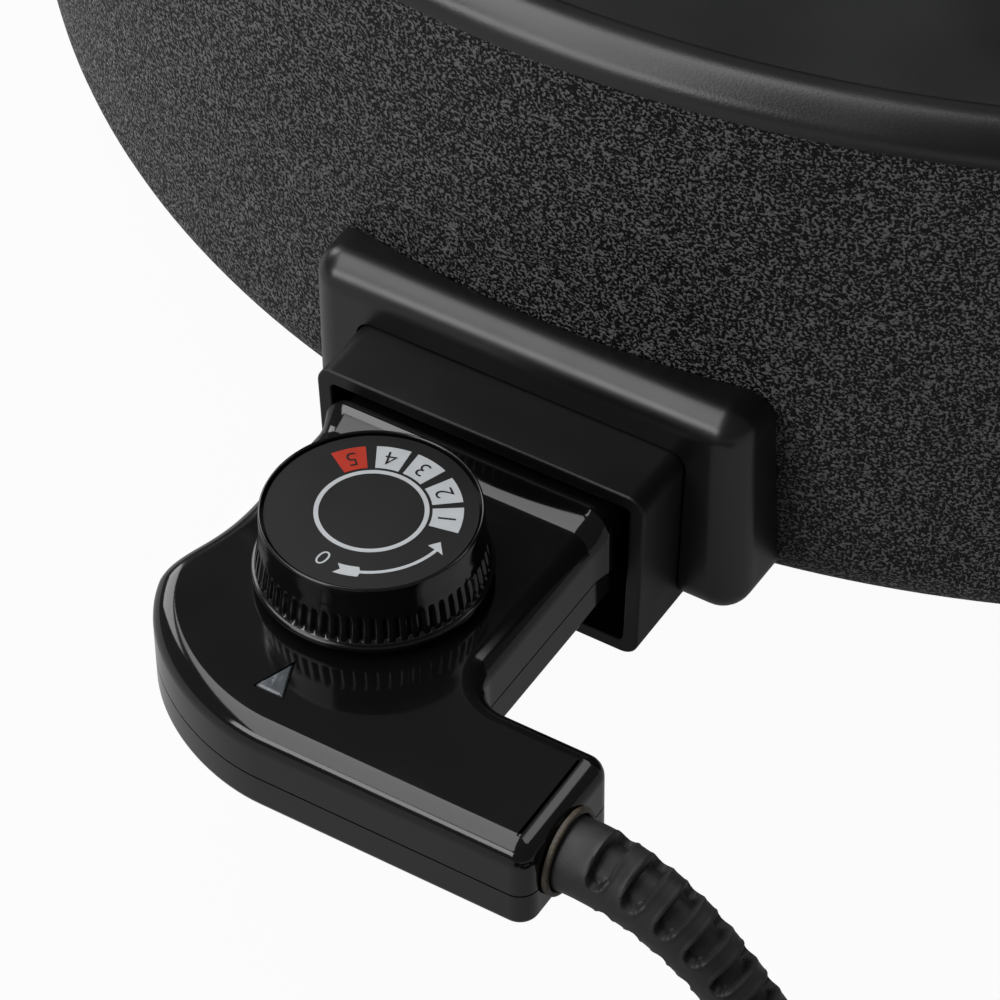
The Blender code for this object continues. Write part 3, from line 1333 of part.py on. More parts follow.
def build_switch(shop, parent, pusher_pivot, blade_pivot):
    """Bracket, ceramic stack, pusher and contact blade inside the head."""
    leg_base = SWITCH_BASE_Z
    low = (-BRACKET_HALF, KNOB_Y + BRACKET_FRONT, leg_base)
    high = (BRACKET_HALF, KNOB_Y + BRACKET_BACK, BRACKET_TOP_HEIGHT)
    size, centre = box_between(low, high)
    bracket = shop.add(
        "switch_bracket", block_mesh("switch_bracket", size), centre, shop.plated, parent
    )
    low = (-BRACKET_HALF - OVERRUN, KNOB_Y + BRACKET_FRONT + BRACKET_LEG, leg_base - OVERRUN)
    high = (
        BRACKET_HALF + OVERRUN,
        KNOB_Y + BRACKET_BACK - BRACKET_LEG,
        BRACKET_TOP_HEIGHT - BRACKET_PLATE,
    )
    size, centre = box_between(low, high)
    cut(bracket, shop.cutter("bracket_bay", block_mesh("bracket_bay", size), centre))
    hole = rod_mesh("pusher_hole", PUSHER_RADIUS + GAP, HEAD_THICKNESS, "Z", PIN_SIDES)
    cut(bracket, shop.cutter("pusher_hole", hole, (0, KNOB_Y, HEAD_BASE_Z)))

    low = (-STACK_HALF, KNOB_Y + STACK_FRONT, leg_base)
    high = (STACK_HALF, KNOB_Y + STACK_BACK, STACK_TOP_Z)
    size, centre = box_between(low, high)
    shop.add("contact_stack", block_mesh("contact_stack", size), centre, shop.ceramic, parent)

    low = (-BLADE_HALF, KNOB_Y + BLADE_TIP, BLADE_Z - BLADE_THICKNESS / 2)
    high = (BLADE_HALF, KNOB_Y + STACK_FRONT - GAP, BLADE_Z + BLADE_THICKNESS / 2)
    size, centre = box_between(low, high)
    shop.add(
        "contact_blade", block_mesh("contact_blade", size), centre, shop.brass, blade_pivot
    )

    pusher_base = BLADE_Z + BLADE_THICKNESS / 2 + GAP
    pusher_top = SPINDLE_FOOT_HEIGHT - GAP
    length = pusher_top - pusher_base
    pusher = rod_mesh("adjusting_pin", PUSHER_RADIUS, length, "Z", PIN_SIDES)
    place = (0, KNOB_Y, pusher_base)
    shop.add("adjusting_pin", pusher, place, shop.ceramic, pusher_pivot)


def build_nose(shop, parent):
    """Contact block, contact sleeves and sensing probe in the neck."""
    back = NOSE_Y - HEAD_WALL - BLOCK_BACK_GAP
    inner = NECK_HALF - HEAD_WALL - GAP
    low = (-inner, back - BLOCK_LENGTH, CAVITY_BASE_Z + GAP)
    high = (inner, back, CAVITY_TOP_Z - GAP)
    size, centre = box_between(low, high)
    block = shop.add(
        "contact_block",
        block_mesh("contact_block", size),
        centre,
        shop.phenolic,
        parent,
    )
    bore = PIN_RADIUS + GAP
    outer = bore + CONTACT_WALL
    end = NOSE_Y - HEAD_WALL - GAP
    for name, x in pin_columns():
        hole = rod_mesh("contact_hole", outer + GAP, BLOCK_LENGTH + 2 * OVERRUN, "Y", PIN_SIDES)
        place = (x, back - BLOCK_LENGTH - OVERRUN, PIN_HEIGHT)
        cut(block, shop.cutter("contact_hole", hole, place))
        profile = [
            (bore, CONTACT_LENGTH),
            (outer, CONTACT_LENGTH),
            (outer, 0.0),
            (bore, 0.0),
        ]
        contact = turn_piece(
            shop,
            name.replace("pin", "contact"),
            profile,
            (x, end - CONTACT_LENGTH, PIN_HEIGHT),
            shop.brass,
            PIN_SIDES,
            closed=True,
            parent=parent,
        )
        contact.rotation_euler = (-math.pi / 2, 0, 0)
    hole = rod_mesh(
        "probe_block_hole", PROBE_RADIUS + GAP, BLOCK_LENGTH + 2 * OVERRUN, "Y", PIN_SIDES
    )
    place = (0, back - BLOCK_LENGTH - OVERRUN, PIN_HEIGHT)
    cut(block, shop.cutter("probe_block_hole", hole, place))
    start = KNOB_Y + PROBE_INSIDE
    length = NOSE_Y + PROBE_REACH - start
    profile = [
        (0.0, length),
        (PROBE_RADIUS - PROBE_POINT, length),
        (PROBE_RADIUS, length - PROBE_POINT),
        (PROBE_RADIUS, 0.0),
        (0.0, 0.0),
    ]
    probe = turn_piece(
        shop,
        "sensing_probe",
        profile,
        (0, start, PIN_HEIGHT),
        shop.steel,
        PIN_SIDES,
        parent=parent,
    )
    probe.rotation_euler = (-math.pi / 2, 0, 0)


def cord_route():
    """The route's points, which start at the cord's hole in the head and end on the floor."""
    return [Vector((HEAD_RIGHT + x, KNOB_Y + CORD_EXIT_Y + y, z)) for x, y, z in CORD_ROUTE]


def boot_line():
    """Route of the boot outside the head, and of the free cord after it."""
    line = smooth_line(cord_route(), CORD_RADIUS / 2)
    boot = take_length(line, 0.0, BOOT_LENGTH)
    cord = take_length(line, BOOT_LENGTH + GAP, line_length(line))
    cord.append(line[-1])
    return boot, cord


def build_exit(shop, parent):
    """Cord clamp, gland ring and strain relief boot."""
    y = KNOB_Y + CORD_EXIT_Y
    low = (CLAMP_START, y - CLAMP_HALF, CAVITY_BASE_Z + GAP)
    high = (CLAMP_START + CLAMP_LENGTH, y + CLAMP_HALF, CAVITY_TOP_Z - GAP)
    size, centre = box_between(low, high)
    clamp = shop.add(
        "cord_clamp", block_mesh("cord_clamp", size), centre, shop.phenolic, parent
    )
    depth = CLAMP_LENGTH + 2 * OVERRUN
    bore = rod_mesh("clamp_bore", BOOT_TAIL_RADIUS + GAP, depth, "X", PIN_SIDES)
    cut(clamp, shop.cutter("clamp_bore", bore, (CLAMP_START - OVERRUN, y, PIN_HEIGHT)))

    inner = BOOT_RADIUS + GAP
    profile = [
        (inner, RING_THICKNESS),
        (RING_OUTER_RADIUS, RING_THICKNESS),
        (RING_OUTER_RADIUS, 0.0),
        (inner, 0.0),
    ]
    ring = turn_piece(
        shop,
        "gland_ring",
        profile,
        (HEAD_RIGHT + GAP, y, PIN_HEIGHT),
        shop.phenolic,
        RING_SIDES,
        closed=True,
        parent=parent,
    )
    ring.rotation_euler = (0, math.pi / 2, 0)
    build_boot(shop, parent, y)


def boot_sections():
    """Distances along the boot from the face and the radius at each."""
    sections = [(0.0, BOOT_RADIUS), (BOOT_COLLAR, BOOT_RADIUS)]
    ribbed = BOOT_LENGTH - BOOT_COLLAR - BOOT_TIP
    pitch = ribbed / BOOT_GROOVE_COUNT
    for groove in range(BOOT_GROOVE_COUNT):
        start = BOOT_COLLAR + groove * pitch
        for number, share in enumerate(BOOT_GROOVE_SHARES):
            along = start + (share + BOOT_GROOVE_SHARES[1]) * pitch
            taper = (along - BOOT_COLLAR) / (BOOT_LENGTH - BOOT_COLLAR)
            radius = BOOT_RADIUS + (BOOT_END_RADIUS - BOOT_RADIUS) * taper
            if number in (1, 2):
                radius -= BOOT_GROOVE_DEPTH
            sections.append((along, radius))
    sections.append((BOOT_LENGTH - BOOT_TIP / 4, BOOT_END_RADIUS))
    sections.append((BOOT_LENGTH, BOOT_END_RADIUS))
    return sections


def build_boot(shop, parent, y):
    """Boot: its tail in the clamp, its collar in the wall and its grooved taper outside."""
    line, _ = boot_line()
    tail = CLAMP_START + GAP
    step = CLAMP_START + CLAMP_LENGTH + GAP
    face = HEAD_RIGHT - HEAD_WALL - GAP
    points = [
        (tail, y, PIN_HEIGHT),
        (step, y, PIN_HEIGHT),
        (step + OVERRUN / 2, y, PIN_HEIGHT),
        (face, y, PIN_HEIGHT),
    ]
    radii = [BOOT_TAIL_RADIUS, BOOT_TAIL_RADIUS, BOOT_INNER_RADIUS, BOOT_INNER_RADIUS]
    total = line_length(line)
    for along, radius in boot_sections():
        stretch = take_length(line, 0.0, min(along, total - MERGE))
        points.append(tuple(stretch[-1]) if along else tuple(line[0]))
        radii.append(radius)
    shares = [radius / BOOT_RADIUS for radius in radii]
    tube(
        shop,
        "strain_relief_boot",
        points,
        BOOT_RADIUS,
        shop.rubber,
        TUBE_RESOLUTION,
        parent,
        shares,
    )


def coil_path():
    """Centreline of the stored cord: in along one layer and out along the next."""
    turns = 2 * COIL_TURNS_PER_LAYER
    swing = COIL_PITCH * COIL_TURNS_PER_LAYER
    outer = COIL_MIDDLE_RADIUS + swing / 2
    start = cord_route()[-1]
    entry = Vector((CORD_RADIUS * 2 + GAP, 0, 0))
    centre = start + entry - Vector((0, outer, 0))
    plug_z = PLUG_RADIUS + CORD_REST_GAP
    points = [start + Vector((GAP, 0, 0))]
    count = round(turns * COIL_POINTS_PER_TURN)
    for step in range(count + 1):
        turned_by = turns * step / count
        away = abs(turned_by - COIL_TURNS_PER_LAYER)
        radius = outer - swing + COIL_PITCH * away
        angle = math.pi / 2 - math.tau * turned_by
        climb = (turned_by - COIL_TURNS_PER_LAYER) / COIL_CLIMB_TURNS + 1 / 2
        climb = min(max(climb, 0.0), 1.0)
        height = start.z + COIL_PITCH * climb * climb * (3 - 2 * climb)
        last = min(max((turned_by - turns + COIL_RISE_TURNS) / COIL_RISE_TURNS, 0.0), 1.0)
        height += (plug_z - start.z - COIL_PITCH) * last * last * (3 - 2 * last)
        x = centre.x + radius * math.cos(angle)
        y = centre.y + radius * math.sin(angle)
        points.append(Vector((x, y, height)))
    points.append(points[-1] - Vector((2 * CORD_RADIUS, 0, 0)))
    return points


def least_gap(points, radius, apart):
    """Least clear distance between stretches of one tube that aren't next to each other."""
    fine = read_evenly(points, radius)
    skip = round(apart / radius)
    least = math.inf
    for index, point in enumerate(fine):
        for other in fine[index + skip :]:
            least = min(least, (point - other).length)
    return least - 2 * radius


def build_cord(shop, parent):
    """Free cord, coil of the stored length and the plug on its end."""
    _, free = boot_line()
    lead = take_length(free, 0.0, CORD_RADIUS / 2)
    free = lead[:1] + lead[-1:] + read_evenly(free, 4 * CORD_RADIUS)[1:]
    tube(shop, "cord", free, CORD_RADIUS, shop.rubber, TUBE_RESOLUTION, parent)
    coil = coil_path()
    tube(shop, "cord_coil", coil, CORD_RADIUS, shop.rubber, COIL_RESOLUTION, parent)
    gap = least_gap(coil, CORD_RADIUS, COIL_MIDDLE_RADIUS)
    print(f"coil gap to itself {gap * 1000:.2f} mm")
    total = BOOT_LENGTH + line_length(free) + line_length(coil)
    print(f"cord length from the head to the plug {total:.3f} m")
    build_plug(shop, parent, coil[-1])


def build_plug(shop, parent, end):
    """Round two-pin plug lying on its side, with its pins towards -X."""
    tail = end - Vector((GAP, 0, 0))
    neck = PLUG_NECK_LENGTH
    waist = neck + PLUG_TAPER_LENGTH
    front = waist + PLUG_BODY_LENGTH
    profile = [
        (0.0, front),
        (PLUG_RADIUS - PLUG_EDGE, front),
        (PLUG_RADIUS, front - PLUG_EDGE),
        (PLUG_RADIUS, waist + PLUG_EDGE),
        (PLUG_RADIUS - PLUG_EDGE, waist),
        (PLUG_WAIST_RADIUS, neck + PLUG_EDGE),
        (PLUG_NECK_RADIUS, neck),
        (PLUG_TAIL_RADIUS, 0.0),
        (0.0, 0.0),
    ]
    body = turn_piece(shop, "plug_body", profile, tail, shop.rubber, RING_SIDES, parent=parent)
    body.rotation_euler = (0, -math.pi / 2, 0)
    face = tail.x - front
    for name, side in (("plug_pin_1", -1), ("plug_pin_2", 1)):
        place = (face + PLUG_PIN_SOCKET, tail.y + side * PLUG_PIN_OFFSET, tail.z)
        length = PLUG_PIN_SOCKET + PLUG_PIN_LENGTH
        hole = rod_mesh("plug_pin_hole", PLUG_PIN_RADIUS + GAP, length, "X", SCREW_SIDES)
        hole_place = (place[0] - length + GAP, place[1], place[2])
        cut(body, shop.cutter("plug_pin_hole", hole, hole_place))
        mesh = rod_mesh(name, PLUG_PIN_RADIUS, length, "X", SCREW_SIDES)
        shop.add(name, mesh, (place[0] - length, place[1], place[2]), shop.plated, parent)


def main():
    """Build the whole pan."""
    clear_scene()
    shop = Shop()
    build_bowl(shop)
    build_shell(shop)
    build_base(shop)
    build_feet(shop)
    build_centre(shop)
    build_reflector(shop)
    build_element(shop)
    build_probe_well(shop)
    build_handles(shop)
    build_socket(shop)
    build_pins(shop)
    slide = shop.pivot("thermostat_slide", (0, NOSE_Y, PIN_HEIGHT))
    turn = shop.pivot("knob_turn", (0, KNOB_Y, KNOB_BASE_Z), slide)
    pusher = shop.pivot("adjusting_pin_slide", (0, KNOB_Y, SPINDLE_FOOT_HEIGHT), slide)
    blade_place = (0, KNOB_Y + STACK_FRONT, BLADE_Z)
    blade = shop.pivot("contact_blade_pivot", blade_place, slide)
    build_upper_shell(shop, slide)
    build_lower_shell(shop, slide)
    build_case_screws(shop, slide)
    build_knob(shop, turn)
    build_pilot(shop, slide)
    build_switch(shop, slide, pusher, blade)
    build_nose(shop, slide)
    build_exit(shop, slide)
    build_cord(shop, slide)


main()
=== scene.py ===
"""Finished look of the electric pizza pan with its plug-in thermostat.

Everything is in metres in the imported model's frame: +Z up, the thermostat at the
front on the -Y side and +X on the right.
"""

import logging
import math
from dataclasses import dataclass, field
from enum import Enum
from typing import Callable, Iterable, Sequence

import bmesh
import bpy
from mathutils import Matrix, Vector


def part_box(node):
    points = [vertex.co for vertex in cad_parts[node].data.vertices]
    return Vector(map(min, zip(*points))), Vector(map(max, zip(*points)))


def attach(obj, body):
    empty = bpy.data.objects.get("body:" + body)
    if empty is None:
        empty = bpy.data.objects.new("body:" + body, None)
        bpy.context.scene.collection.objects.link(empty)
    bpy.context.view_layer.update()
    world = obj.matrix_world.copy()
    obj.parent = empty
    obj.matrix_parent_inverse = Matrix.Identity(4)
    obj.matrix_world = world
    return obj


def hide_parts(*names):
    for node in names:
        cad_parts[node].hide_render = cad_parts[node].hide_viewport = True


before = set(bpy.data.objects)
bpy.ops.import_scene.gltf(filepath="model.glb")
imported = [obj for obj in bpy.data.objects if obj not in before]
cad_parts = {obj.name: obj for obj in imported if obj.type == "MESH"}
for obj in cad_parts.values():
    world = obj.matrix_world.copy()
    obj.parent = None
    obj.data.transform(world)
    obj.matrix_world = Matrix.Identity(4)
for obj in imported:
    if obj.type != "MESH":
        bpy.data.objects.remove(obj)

LOG = logging.getLogger("electric_pizza_pan")
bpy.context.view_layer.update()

Point = tuple[float, float]
Colour = tuple[float, float, float]
Offset = tuple[float, float, float]
Shape = bmesh.types.BMesh
Edge = bmesh.types.BMEdge
Tree = bpy.types.NodeTree
Link = bpy.types.NodeSocket

MM = 0.001
GAP = 0.3 * MM
MERGE = 0.005 * MM
OVERRUN = 2 * MM
FOOT_SCREW_BORE = 2.3 * MM


class Grain(Enum):
    """Kinds of surface grain."""

    MOULDED = "moulded"
    HAMMERED = "hammered"
    BRUSHED = "brushed"
    POLISHED = "polished"


class Body(Enum):
    """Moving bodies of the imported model."""

    PAN = "pan"
    THERMOSTAT = "thermostat"
    KNOB = "knob"
    ADJUSTER = "adjuster"
    BLADE = "blade"


class Operation(Enum):
    """What a tool does to a solid."""

    CUT = "DIFFERENCE"
    JOIN = "UNION"


def middle(node: str) -> Vector:
    """Centre of a node's box at rest."""
    low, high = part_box(node)
    return (low + high) / 2


def arc(centre: Point, radius: float, start: float, end: float, count: int) -> list[Point]:
    """Points on an arc.

    Args:
        centre: Centre of the arc.
        radius: Its radius.
        start: First angle in degrees.
        end: Last angle in degrees.
        count: Number of steps.

    Returns:
        The points, both ends included.
    """
    points = []
    for step in range(count + 1):
        angle = math.radians(start + (end - start) * step / count)
        points.append((centre[0] + radius * math.cos(angle), centre[1] + radius * math.sin(angle)))
    return points


def polar(reach: float, angle: float) -> Point:
    """The point at a distance and an angle in degrees."""
    turn = math.radians(angle)
    return (reach * math.cos(turn), reach * math.sin(turn))


def corner_arcs(centres: Sequence[Point], radius: float, count: int) -> list[Point]:
    """Outline of quarter arcs about four centres, from the lower right counterclockwise."""
    points = []
    for centre, start in zip(centres, (-90, 0, 90, 180)):
        points += arc(centre, radius, start, start + 90, count)
    return points


def bezier(start: Point, first: Point, second: Point, end: Point, count: int) -> list[Point]:
    """Points on a cubic curve.

    Args:
        start: First point.
        first: Handle that leaves the first point.
        second: Handle that enters the last point.
        end: Last point.
        count: Number of steps.

    Returns:
        The points after the first one.
    """
    points = []
    for step in range(1, count + 1):
        t = step / count
        weights = ((1 - t) ** 3, 3 * t * (1 - t) ** 2, 3 * t * t * (1 - t), t**3)
        corners = (start, first, second, end)
        x = sum(weight * corner[0] for weight, corner in zip(weights, corners))
        y = sum(weight * corner[1] for weight, corner in zip(weights, corners))
        points.append((x, y))
    return points


def ease(value: float, low: float, high: float) -> float:
    """Smooth step from 0 at low to 1 at high."""
    share = min(max((value - low) / (high - low), 0.0), 1.0)
    return share * share * (3 - 2 * share)


def revolve(profile: Sequence[Point], steps: int, closed: bool = False) -> Shape:
    """Turn a profile of radius and height about Z.

    Args:
        profile: Radius and height of each point.
        steps: Number of sides.
        closed: Whether the last point joins the first.

    Returns:
        The closed solid about the Z axis.
    """
    bm = bmesh.new()
    verts = [bm.verts.new((radius, 0.0, height)) for radius, height in profile]
    pairs = list(zip(verts, verts[1:]))
    if closed:
        pairs.append((verts[-1], verts[0]))
    for first, second in pairs:
        bm.edges.new((first, second))
    bmesh.ops.spin(
        bm,
        geom=bm.verts[:] + bm.edges[:],
        cent=(0, 0, 0),
        axis=(0, 0, 1),
        angle=math.tau,
        steps=steps,
        use_merge=True,
    )
    bmesh.ops.remove_doubles(bm, verts=bm.verts, dist=MERGE)
    bmesh.ops.recalc_face_normals(bm, faces=bm.faces)
    return bm


def ring_edges(bm: Shape, points: Iterable[Sequence[float]]) -> list[Edge]:
    """Join points into a closed loop of edges."""
    verts = [bm.verts.new(point) for point in points]
    return [bm.edges.new(pair) for pair in zip(verts, verts[1:] + verts[:1])]


def flat_face(bm: Shape, outline: Sequence[Point], height: float) -> list[bmesh.types.BMFace]:
    """Fill a flat outline at a height."""
    edges = ring_edges(bm, ((x, y, height) for x, y in outline))
    return bmesh.ops.edgeloop_fill(bm, edges=edges)["faces"]


def loft(sections: Sequence[Sequence[Sequence[float]]]) -> Shape:
    """Skin closed sections with the same number of points, and close both ends.

    Args:
        sections: Points of each section, in order along the piece.

    Returns:
        The closed solid.
    """
    bm = bmesh.new()
    rings = [ring_edges(bm, section) for section in sections]
    for first, second in zip(rings, rings[1:]):
        bmesh.ops.bridge_loops(bm, edges=first + second)
    for ring in (rings[0], rings[-1]):
        bmesh.ops.edgeloop_fill(bm, edges=ring)
    bmesh.ops.recalc_face_normals(bm, faces=bm.faces)
    return bm


def lift_faces(bm: Shape, faces: Sequence[bmesh.types.BMFace], height: float) -> Shape:
    """Extrude flat faces along Z into a closed solid and return it."""
    lifted = bmesh.ops.extrude_face_region(bm, geom=faces, use_keep_orig=True)["geom"]
    lifted = [item for item in lifted if isinstance(item, bmesh.types.BMVert)]
    bmesh.ops.translate(bm, verts=lifted, vec=(0, 0, height))
    bmesh.ops.recalc_face_normals(bm, faces=bm.faces)
    return bm


def plate(outline: Sequence[Point], low: float, high: float) -> Shape:
    """Extrude a flat outline along Z.

    Args:
        outline: Points of the outline.
        low: Level of its lower face.
        high: Level of its upper face.

    Returns:
        The closed solid.
    """
    bm = bmesh.new()
    return lift_faces(bm, flat_face(bm, outline, low), high - low)


def rod(radius: float, length: float, axis: str, start: Sequence[float], sides: int = 48) -> Shape:
    """A cylinder along an axis.

    Args:
        radius: Its radius.
        length: Its length.
        axis: X, Y or Z.
        start: Middle of its first end.
        sides: Number of sides.

    Returns:
        The closed solid.
    """
    bm = bmesh.new()
    bmesh.ops.create_cone(
        bm, cap_ends=True, segments=sides, radius1=radius, radius2=radius, depth=length
    )
    bmesh.ops.translate(bm, verts=bm.verts, vec=(0, 0, length / 2))
    stand(bm, axis)
    bmesh.ops.translate(bm, verts=bm.verts, vec=start)
    return bm


def stand(bm: Shape, axis: str) -> None:
    """Turn a shape made about Z so that it runs along another axis."""
    turns = {
        "X": Matrix.Rotation(math.pi / 2, 3, "Y"),
        "-X": Matrix.Rotation(-math.pi / 2, 3, "Y"),
        "Y": Matrix.Rotation(-math.pi / 2, 3, "X"),
        "-Y": Matrix.Rotation(math.pi / 2, 3, "X"),
        "Z": Matrix.Identity(3),
    }
    bmesh.ops.rotate(bm, verts=bm.verts, cent=(0, 0, 0), matrix=turns[axis])


def block(low: Sequence[float], high: Sequence[float]) -> Shape:
    """A box between its lowest and its highest corner."""
    size = Vector(high) - Vector(low)
    bm = bmesh.new()
    bmesh.ops.create_cube(bm, size=1.0)
    bmesh.ops.scale(bm, vec=size, verts=bm.verts)
    return shift(bm, (Vector(high) + Vector(low)) / 2)


def round_edges(bm: Shape, edges: Iterable[Edge], radius: float, segments: int) -> None:
    """Bevel edges to a round."""
    bmesh.ops.bevel(
        bm,
        geom=list(edges),
        offset=radius,
        segments=segments,
        profile=0.5,
        affect="EDGES",
        material=-1,
    )


def edges_at(bm: Shape, height: float) -> list[Edge]:
    """Edges that lie level at a height."""
    return [
        edge for edge in bm.edges if all(abs(vert.co.z - height) < MERGE for vert in edge.verts)
    ]


def shift(bm: Shape, place: Sequence[float]) -> Shape:
    """Move a whole shape and return it."""
    bmesh.ops.translate(bm, verts=bm.verts, vec=place)
    return bm


def hold(bm: Shape, name: str) -> bpy.types.Object:
    """Put a shape on a new object."""
    mesh = bpy.data.meshes.new(name)
    bm.to_mesh(mesh)
    bm.free()
    item = bpy.data.objects.new(name, mesh)
    bpy.context.scene.collection.objects.link(item)
    return item


def combine(
    solid: Shape, tools: Sequence[Shape], operation: Operation
) -> Shape:
    """Cut tools out of a solid, or join them to it.

    Args:
        solid: The solid, which is used up.
        tools: The tools, which are used up.
        operation: What the tools do.

    Returns:
        The combined solid.
    """
    target = hold(solid, "worked_solid")
    cutters = [hold(tool, "tool") for tool in tools]
    for cutter in cutters:
        step = target.modifiers.new("combine", "BOOLEAN")
        step.operation = operation.value
        step.object = cutter
        step.solver = "EXACT"
    result = bmesh.new()
    result.from_object(target, bpy.context.evaluated_depsgraph_get())
    for item in [target, *cutters]:
        mesh = item.data
        bpy.data.objects.remove(item)
        bpy.data.meshes.remove(mesh)
    bmesh.ops.remove_doubles(result, verts=result.verts, dist=MERGE)
    return result


def wrapped(along: int, around: int, place: Callable[[float, float], Vector]) -> Shape:
    """Wrap a grid into a tube with closed ends.

    Args:
        along: Steps along the tube.
        around: Steps round it.
        place: Point for a share along the tube and a turn in radians.

    Returns:
        The closed solid.
    """
    bm = bmesh.new()
    bmesh.ops.create_grid(bm, x_segments=along, y_segments=around, size=0.5)
    for vert in bm.verts:
        share = vert.co.x + 0.5
        turn = (vert.co.y + 0.5) * math.tau
        vert.co = place(share, turn)
    bmesh.ops.remove_doubles(bm, verts=bm.verts, dist=MERGE)
    rim = [edge for edge in bm.edges if edge.is_boundary]
    bmesh.ops.holes_fill(bm, edges=rim, sides=0)
    bmesh.ops.recalc_face_normals(bm, faces=bm.faces)
    return bm


def smooth_line(route: Sequence[Vector], spacing: float) -> list[Vector]:
    """Read a smooth curve through given points at even steps.

    Args:
        route: The points that it passes.
        spacing: Distance between the points read.

    Returns:
        Points along the curve, both ends included.
    """
    ends = [2 * route[0] - route[1], 2 * route[-1] - route[-2]]
    knots = [ends[0], *route, ends[1]]
    fine = []
    for index in range(1, len(knots) - 2):
        before, here, after, beyond = knots[index - 1 : index + 3]
        for step in range(24):
            t = step / 24
            fine.append(
                0.5
                * (
                    2 * here
                    + (after - before) * t
                    + (2 * before - 5 * here + 4 * after - beyond) * t**2
                    + (3 * here - before - 3 * after + beyond) * t**3
                )
            )
    fine.append(knots[-2])
    return read_evenly(fine, spacing)


def read_evenly(line: Sequence[Vector], spacing: float) -> list[Vector]:
    """Points a spacing apart along a line, both ends included."""
    lengths = [0.0]
    for first, second in zip(line, line[1:]):
        lengths.append(lengths[-1] + (second - first).length)
    count = max(round(lengths[-1] / spacing), 1)
    points = []
    index = 0
    for step in range(count + 1):
        wanted = lengths[-1] * step / count
        while index < len(line) - 2 and lengths[index + 1] < wanted:
            index += 1
        part = (wanted - lengths[index]) / (lengths[index + 1] - lengths[index])
        points.append(line[index].lerp(line[index + 1], min(max(part, 0.0), 1.0)))
    return points


def line_length(points: Sequence[Vector]) -> float:
    """Length of a line of points."""
    return sum((second - first).length for first, second in zip(points, points[1:]))


